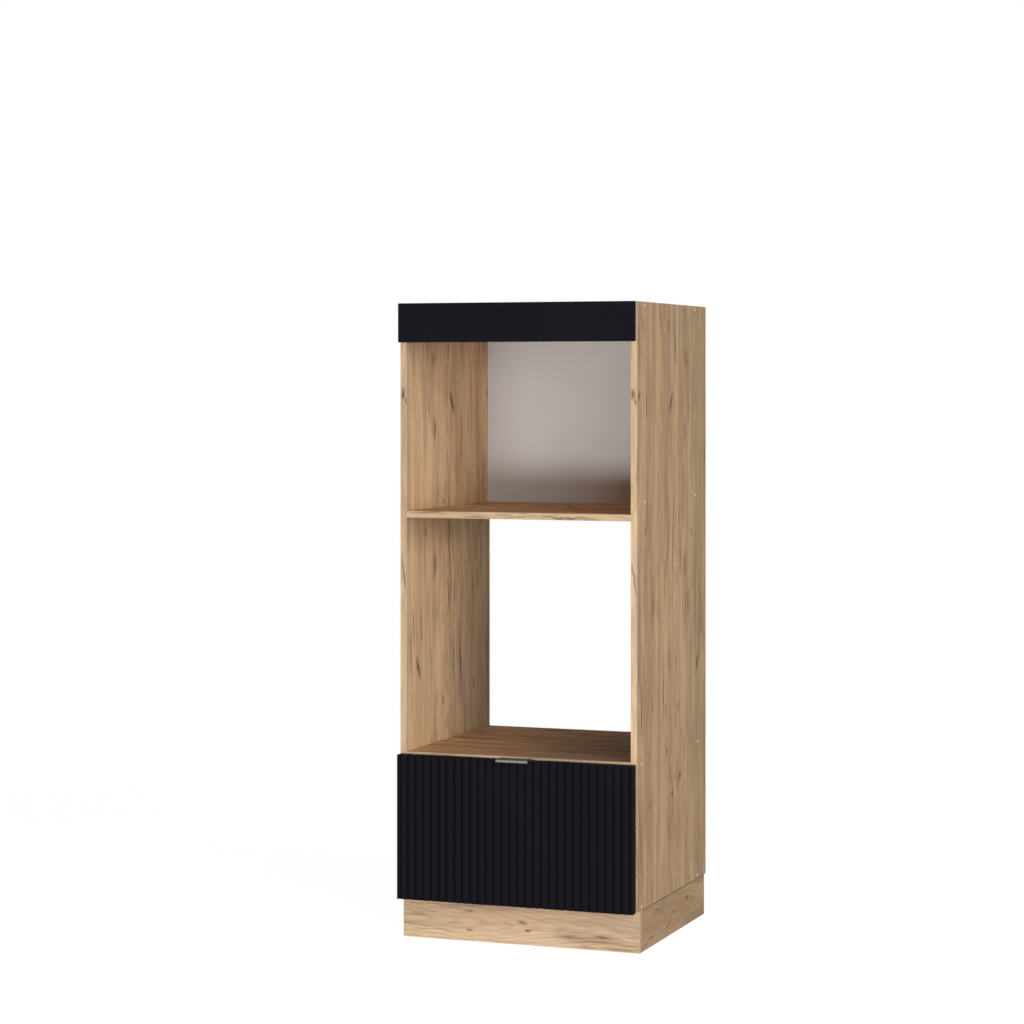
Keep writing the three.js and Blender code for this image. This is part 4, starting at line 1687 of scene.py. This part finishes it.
@dataclass
class Base:
    """Plinth boards, legs, levelling feet and the clips between them."""

    palette: Palette
    screws: SmallScrews
    facets: int = 48
    clip_arris: float = 0.4 * MM
    tube: float = 16 * MM
    bore: float = 10.3 * MM
    tube_arris: float = 0.5 * MM
    tube_ring: float = 4 * MM
    bore_end: float = 0.2 * MM
    flange_thickness: float = 5 * MM
    flange_arris: float = 0.6 * MM
    collar: float = 2 * MM
    rib_thickness: float = 2.4 * MM
    rib_height: float = 16 * MM
    rib_slope: float = 14 * MM
    rib_margin: float = 2 * MM
    rib_arris: float = 0.3 * MM
    rib_seat: float = 1 * MM
    screw_reach: float = 23.5 * MM
    stem: float = 10 * MM
    stem_arris: float = 0.6 * MM
    grip_height: float = 8 * MM
    grip_rings: tuple[tuple[float, float], ...] = (
        (1.2 * MM, 0.0), (0.0, 1.0 * MM), (0.0, 5.8 * MM), (1.5 * MM, 7.2 * MM),
    )
    grip_notches: int = 16
    notch_share: float = 0.95
    notch_zone: float = 2 * MM
    boss: float = 6 * MM
    thread_pitch: float = 3 * MM
    thread_depth: float = 0.8 * MM
    thread_end: float = 1 * MM
    thread_shares: tuple[float, ...] = (0.2, 0.45, 0.6, 0.85)

    def build(self) -> None:
        """Builds the plinth, and a leg, a foot and a clip at each corner."""
        self.front_board()
        for word in SIDES:
            dress_board(f"plinth_side_{word}", self.palette.plinth_side, "oak_board", "carcass")
        for word in SIDES:
            for end in ENDS:
                corner = f"{end}_{word}"
                self.leg(corner)
                self.foot(corner)
                clip = Workpiece.copy_of(f"plinth_clip_{corner}")
                clip.round_sharp(self.clip_arris, 2, 50)
                clip.smooth().dress(
                    self.palette.plastic, "black_plastic", "carcass", f"plinth_clip_{corner}"
                )

    def front_board(self) -> None:
        """Builds the front plinth board with a band on each end."""
        low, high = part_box("plinth_front")
        trims = [(0, low.x, EDGE_BAND), (0, high.x, -EDGE_BAND)]
        dress_board("plinth_front", self.palette.plinth_front, "oak_board", "carcass", trims)
        left_high = Vector((low.x + EDGE_BAND, high.y, high.z))
        right_low = Vector((high.x - EDGE_BAND, low.y, low.z))
        for word, strip_low, strip_high, outer in (
            ("left", low, left_high, low.x), ("right", right_low, high, high.x),
        ):
            edge_band(f"plinth_front_band_{word}", strip_low, strip_high,
                      self.palette.upright_band, x=outer)

    def leg(self, corner: str) -> None:
        """Turns a leg with its flange and bore, and adds four ribs and four screws.

        Args:
            corner: The corner that the leg stands at.
        """
        low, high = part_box(f"leg_{corner}")
        centre = (low + high) / 2
        flange = (high.x - low.x) / 2
        under = high.z - self.flange_thickness
        tube, bore, arris, rim = self.tube, self.bore, self.tube_arris, self.flange_arris
        profile = [
            (flange - rim, high.z), (flange, high.z - rim), (flange, under + rim),
            (flange - rim, under), (tube + self.collar, under), (tube, under - self.collar),
            (tube, low.z + self.tube_ring), (tube, low.z + arris), (tube - arris, low.z),
            (bore + arris, low.z), (bore, low.z + arris), (bore, under - self.bore_end),
        ]
        leg = Workpiece.turned(f"dressed_leg_{corner}", profile, self.facets)
        half, seat = self.rib_thickness / 2, self.rib_seat
        rib_low = Vector((tube - seat, -half, under - self.rib_height))
        rib_high = Vector((flange - self.rib_margin, half, under + seat))
        ribs, places = [], []
        for quarter in range(4):
            rib = Workpiece.block(f"rib_{quarter}", rib_low, rib_high)
            rib.pick(Pick.POINTS, lambda point: point.co.x > tube and point.co.z < under)
            rib.move(z=self.rib_slope)
            rib.round_sharp(self.rib_arris, 1, 40)
            rib.place(Matrix.Rotation((quarter + 0.5) * QUARTER_TURN, 4, "Z"))
            ribs.append(rib)
            angle = quarter * QUARTER_TURN
            out = self.screw_reach * Vector((math.cos(angle), math.sin(angle)))
            places.append((Vector((centre.x + out.x, centre.y + out.y, under)), Vector((0, 0, -1))))
        leg.join(ribs)
        leg.place(Matrix.Translation((centre.x, centre.y, 0)))
        leg.smooth().dress(self.palette.plastic, "black_plastic", "carcass", f"leg_{corner}")
        self.screws.drive(f"leg_screws_{corner}", places, "carcass")

    def foot(self, corner: str) -> None:
        """Turns a foot: a notched grip, a boss and a threaded stem.

        Args:
            corner: The corner that the foot stands at.
        """
        node = f"foot_{corner}"
        low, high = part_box(node)
        centre = (low + high) / 2
        grip = (high.x - low.x) / 2
        stem, z = self.stem, self.grip_height
        core = stem - self.thread_depth
        profile = [(grip - inset, height) for inset, height in self.grip_rings]
        profile += [(stem + self.boss, z), (core, z)]
        while z + self.thread_pitch < high.z - self.thread_end:
            profile += [
                (radius, z + share * self.thread_pitch)
                for radius, share in zip((core, stem, stem, core), self.thread_shares)
            ]
            z += self.thread_pitch
        profile += [(core, high.z - self.stem_arris), (core - self.stem_arris, high.z)]
        foot = Workpiece.turned(f"dressed_{node}", profile, self.facets)
        every = self.facets // self.grip_notches

        def in_notch(point: bmesh.types.BMVert) -> bool:
            """Says whether a point of the grip's rim lies in a notch.

            Args:
                point: A point of the foot.

            Returns:
                True for a point that is pressed in.
            """
            share = math.atan2(point.co.y, point.co.x) / math.tau * self.facets
            on_rim = math.hypot(point.co.x, point.co.y) >= grip - self.notch_zone
            return on_rim and point.co.z <= self.grip_height and round(share) % every == 0

        foot.pick(Pick.POINTS, in_notch)
        foot.resize((self.notch_share, self.notch_share, 1))
        foot.place(Matrix.Translation((centre.x, centre.y, 0)))
        foot.smooth(30).dress(self.palette.plastic, "black_plastic", node, node)


# ---------------------------------------------------------------- studio


@dataclass(frozen=True)
class Glow:
    """A soft lobe of the surround's light, around one direction."""

    direction: Triple
    strength: float
    focus: float


@dataclass(frozen=True)
class Lamp:
    """A soft rectangular lamp."""

    name: str
    place: Triple
    target: Triple
    size: tuple[float, float]
    power: float
    spread: float = 180.0


@dataclass
class Studio:
    """Pale floor, white surround, soft lamps and the camera."""

    camera_place: Triple = (2.3157, -6.4832, 1.3409)
    camera_yaw: float = 20.516
    focal_pixels: float = 2794.3
    horizon_pixel: float = 381.92
    picture_pixels: float = 1024
    sensor: float = 36.0
    floor_size: float = 60
    floor_shadow: float = 0.16
    floor_glow: float = 1.14
    floor_tone: Colour = (0.92, 0.92, 0.92, 1)
    surround: float = 0.025
    glows: tuple[Glow, ...] = (
        Glow((0.84, -0.48, 0.26), 5.6, 20),
        Glow((-0.80, 0.60, 0.05), 0.3, 4),
        Glow((-1.0, 0.06, 0.12), 2.6, 26),
        Glow((0.0, 0.0, 1.0), 0.25, 6),
    )
    lamps: tuple[Lamp, ...] = (
        Lamp("low lamp", (0.0, -4.6, 0.35), (0.0, 0.0, 0.85), (2.4, 0.6), 101),
        Lamp("right lamp", (2.6, -4.2, 1.5), (0.0, 0.0, 0.85), (2.0, 1.2), 62),
        Lamp("far right lamp", (4.4, -3.0, 0.6), (0.0, 0.0, 0.85), (1.6, 0.8), 9),
        Lamp("rear lamp", (-0.7, 4.4, 0.40), (0.0, 0.0, 0.8), (0.6, 0.3), 12, 70),
    )

    def build(self) -> None:
        """Builds the surroundings."""
        self.world()
        self.floor()
        for lamp in self.lamps:
            self.hang(lamp)
        self.camera()

    def world(self) -> None:
        """Lights with soft lobes, and shows plain white to the camera and in reflections."""
        world = bpy.data.worlds.new("studio surround")
        bpy.context.scene.world = world
        world.use_nodes = True
        wiring = Wiring(world.node_tree)
        view = wiring.add("ShaderNodeTexCoord")["Generated"]
        light: object = self.surround
        for glow in self.glows:
            towards = tuple(Vector(glow.direction).normalized())
            facing = wiring.math("MAXIMUM", wiring.vector("DOT_PRODUCT", view, towards), 0.0)
            lobe = wiring.math("POWER", facing, glow.focus)
            light = wiring.math("MULTIPLY_ADD", lobe, glow.strength, light)
        path = wiring.add("ShaderNodeLightPath")
        seen = wiring.math("MAXIMUM", path["Is Camera Ray"], path["Is Glossy Ray"])
        seen = wiring.math("MAXIMUM", seen, path["Is Transmission Ray"])
        hidden = wiring.math("SUBTRACT", 1.0, seen)
        strength = wiring.math("MULTIPLY_ADD", hidden, light, seen)
        white = {"Color": (1, 1, 1, 1), "Strength": strength}
        wiring.feed(world.node_tree.nodes["Background"], white)

    def floor(self) -> None:
        """Lays a pale floor that shows white, with the object's faint shadow."""
        clear_bench()
        bpy.ops.mesh.primitive_plane_add(size=self.floor_size)
        floor = bpy.context.active_object
        floor.name = "studio_floor"
        material = bpy.data.materials.new("studio floor")
        material.use_nodes = True
        tree = material.node_tree
        wiring = Wiring(tree)
        tree.nodes.remove(tree.nodes["Principled BSDF"])
        path = wiring.add("ShaderNodeLightPath")
        seen = wiring.math("MAXIMUM", path["Is Camera Ray"], path["Is Glossy Ray"])
        share = wiring.math("MULTIPLY", seen, 1 - self.floor_shadow)
        lit = wiring.add("ShaderNodeBsdfDiffuse", {"Color": self.floor_tone})[0]
        white = wiring.add("ShaderNodeEmission", {"Strength": self.floor_glow})[0]
        both = wiring.add("ShaderNodeMixShader", {0: share, 1: lit, 2: white})[0]
        wiring.feed(tree.nodes["Material Output"], {"Surface": both})
        floor.data.materials.append(material)

    def hang(self, lamp: Lamp) -> None:
        """Hangs a lamp and points it at its target.

        Args:
            lamp: The lamp.
        """
        data = bpy.data.lights.new(lamp.name, "AREA")
        data.shape = "RECTANGLE"
        data.size, data.size_y = lamp.size
        data.energy = lamp.power
        data.spread = math.radians(lamp.spread)
        thing = bpy.data.objects.new(lamp.name, data)
        bpy.context.scene.collection.objects.link(thing)
        thing.visible_camera = False
        thing.location = lamp.place
        aim = Vector(lamp.target) - Vector(lamp.place)
        thing.rotation_euler = aim.to_track_quat("-Z", "Y").to_euler()

    def camera(self) -> None:
        """Sets up the camera at the photograph's place."""
        data = bpy.data.cameras.new("camera")
        data.sensor_width = self.sensor
        data.lens = self.focal_pixels / self.picture_pixels * self.sensor
        data.shift_y = (self.horizon_pixel - self.picture_pixels / 2) / self.picture_pixels
        data.clip_end = 4 * self.floor_size
        camera = bpy.data.objects.new("camera", data)
        bpy.context.scene.collection.objects.link(camera)
        camera.location = self.camera_place
        camera.rotation_euler = (QUARTER_TURN, 0, math.radians(self.camera_yaw))
        bpy.context.scene.camera = camera
        bpy.context.scene.view_settings.view_transform = "Standard"


def dress_hidden(palette: Palette) -> None:
    """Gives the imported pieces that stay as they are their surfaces.

    Args:
        palette: The finishes.
    """
    finishes = {"screw_": palette.zinc, "shelf_dowel_": palette.beech}
    for name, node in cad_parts.items():
        for start, finish in finishes.items():
            if name.startswith(start):
                node.data.materials.clear()
                node.data.materials.append(finish)
                log.info("%s keeps its packed shape", name)


def main() -> None:
    """Builds the cabinet's sub-assemblies in order, then the studio."""
    logging.basicConfig(level=logging.INFO, format="%(name)s: %(message)s")
    palette = Palette(Effects())
    screws = SmallScrews(palette)
    Carcass(palette).build()
    for assembly in (Valance, DrawerFront, DrawerBox, Runners, Base):
        assembly(palette, screws).build()
    dress_hidden(palette)
    Studio().build()


if __name__ == "__main__":
    main()
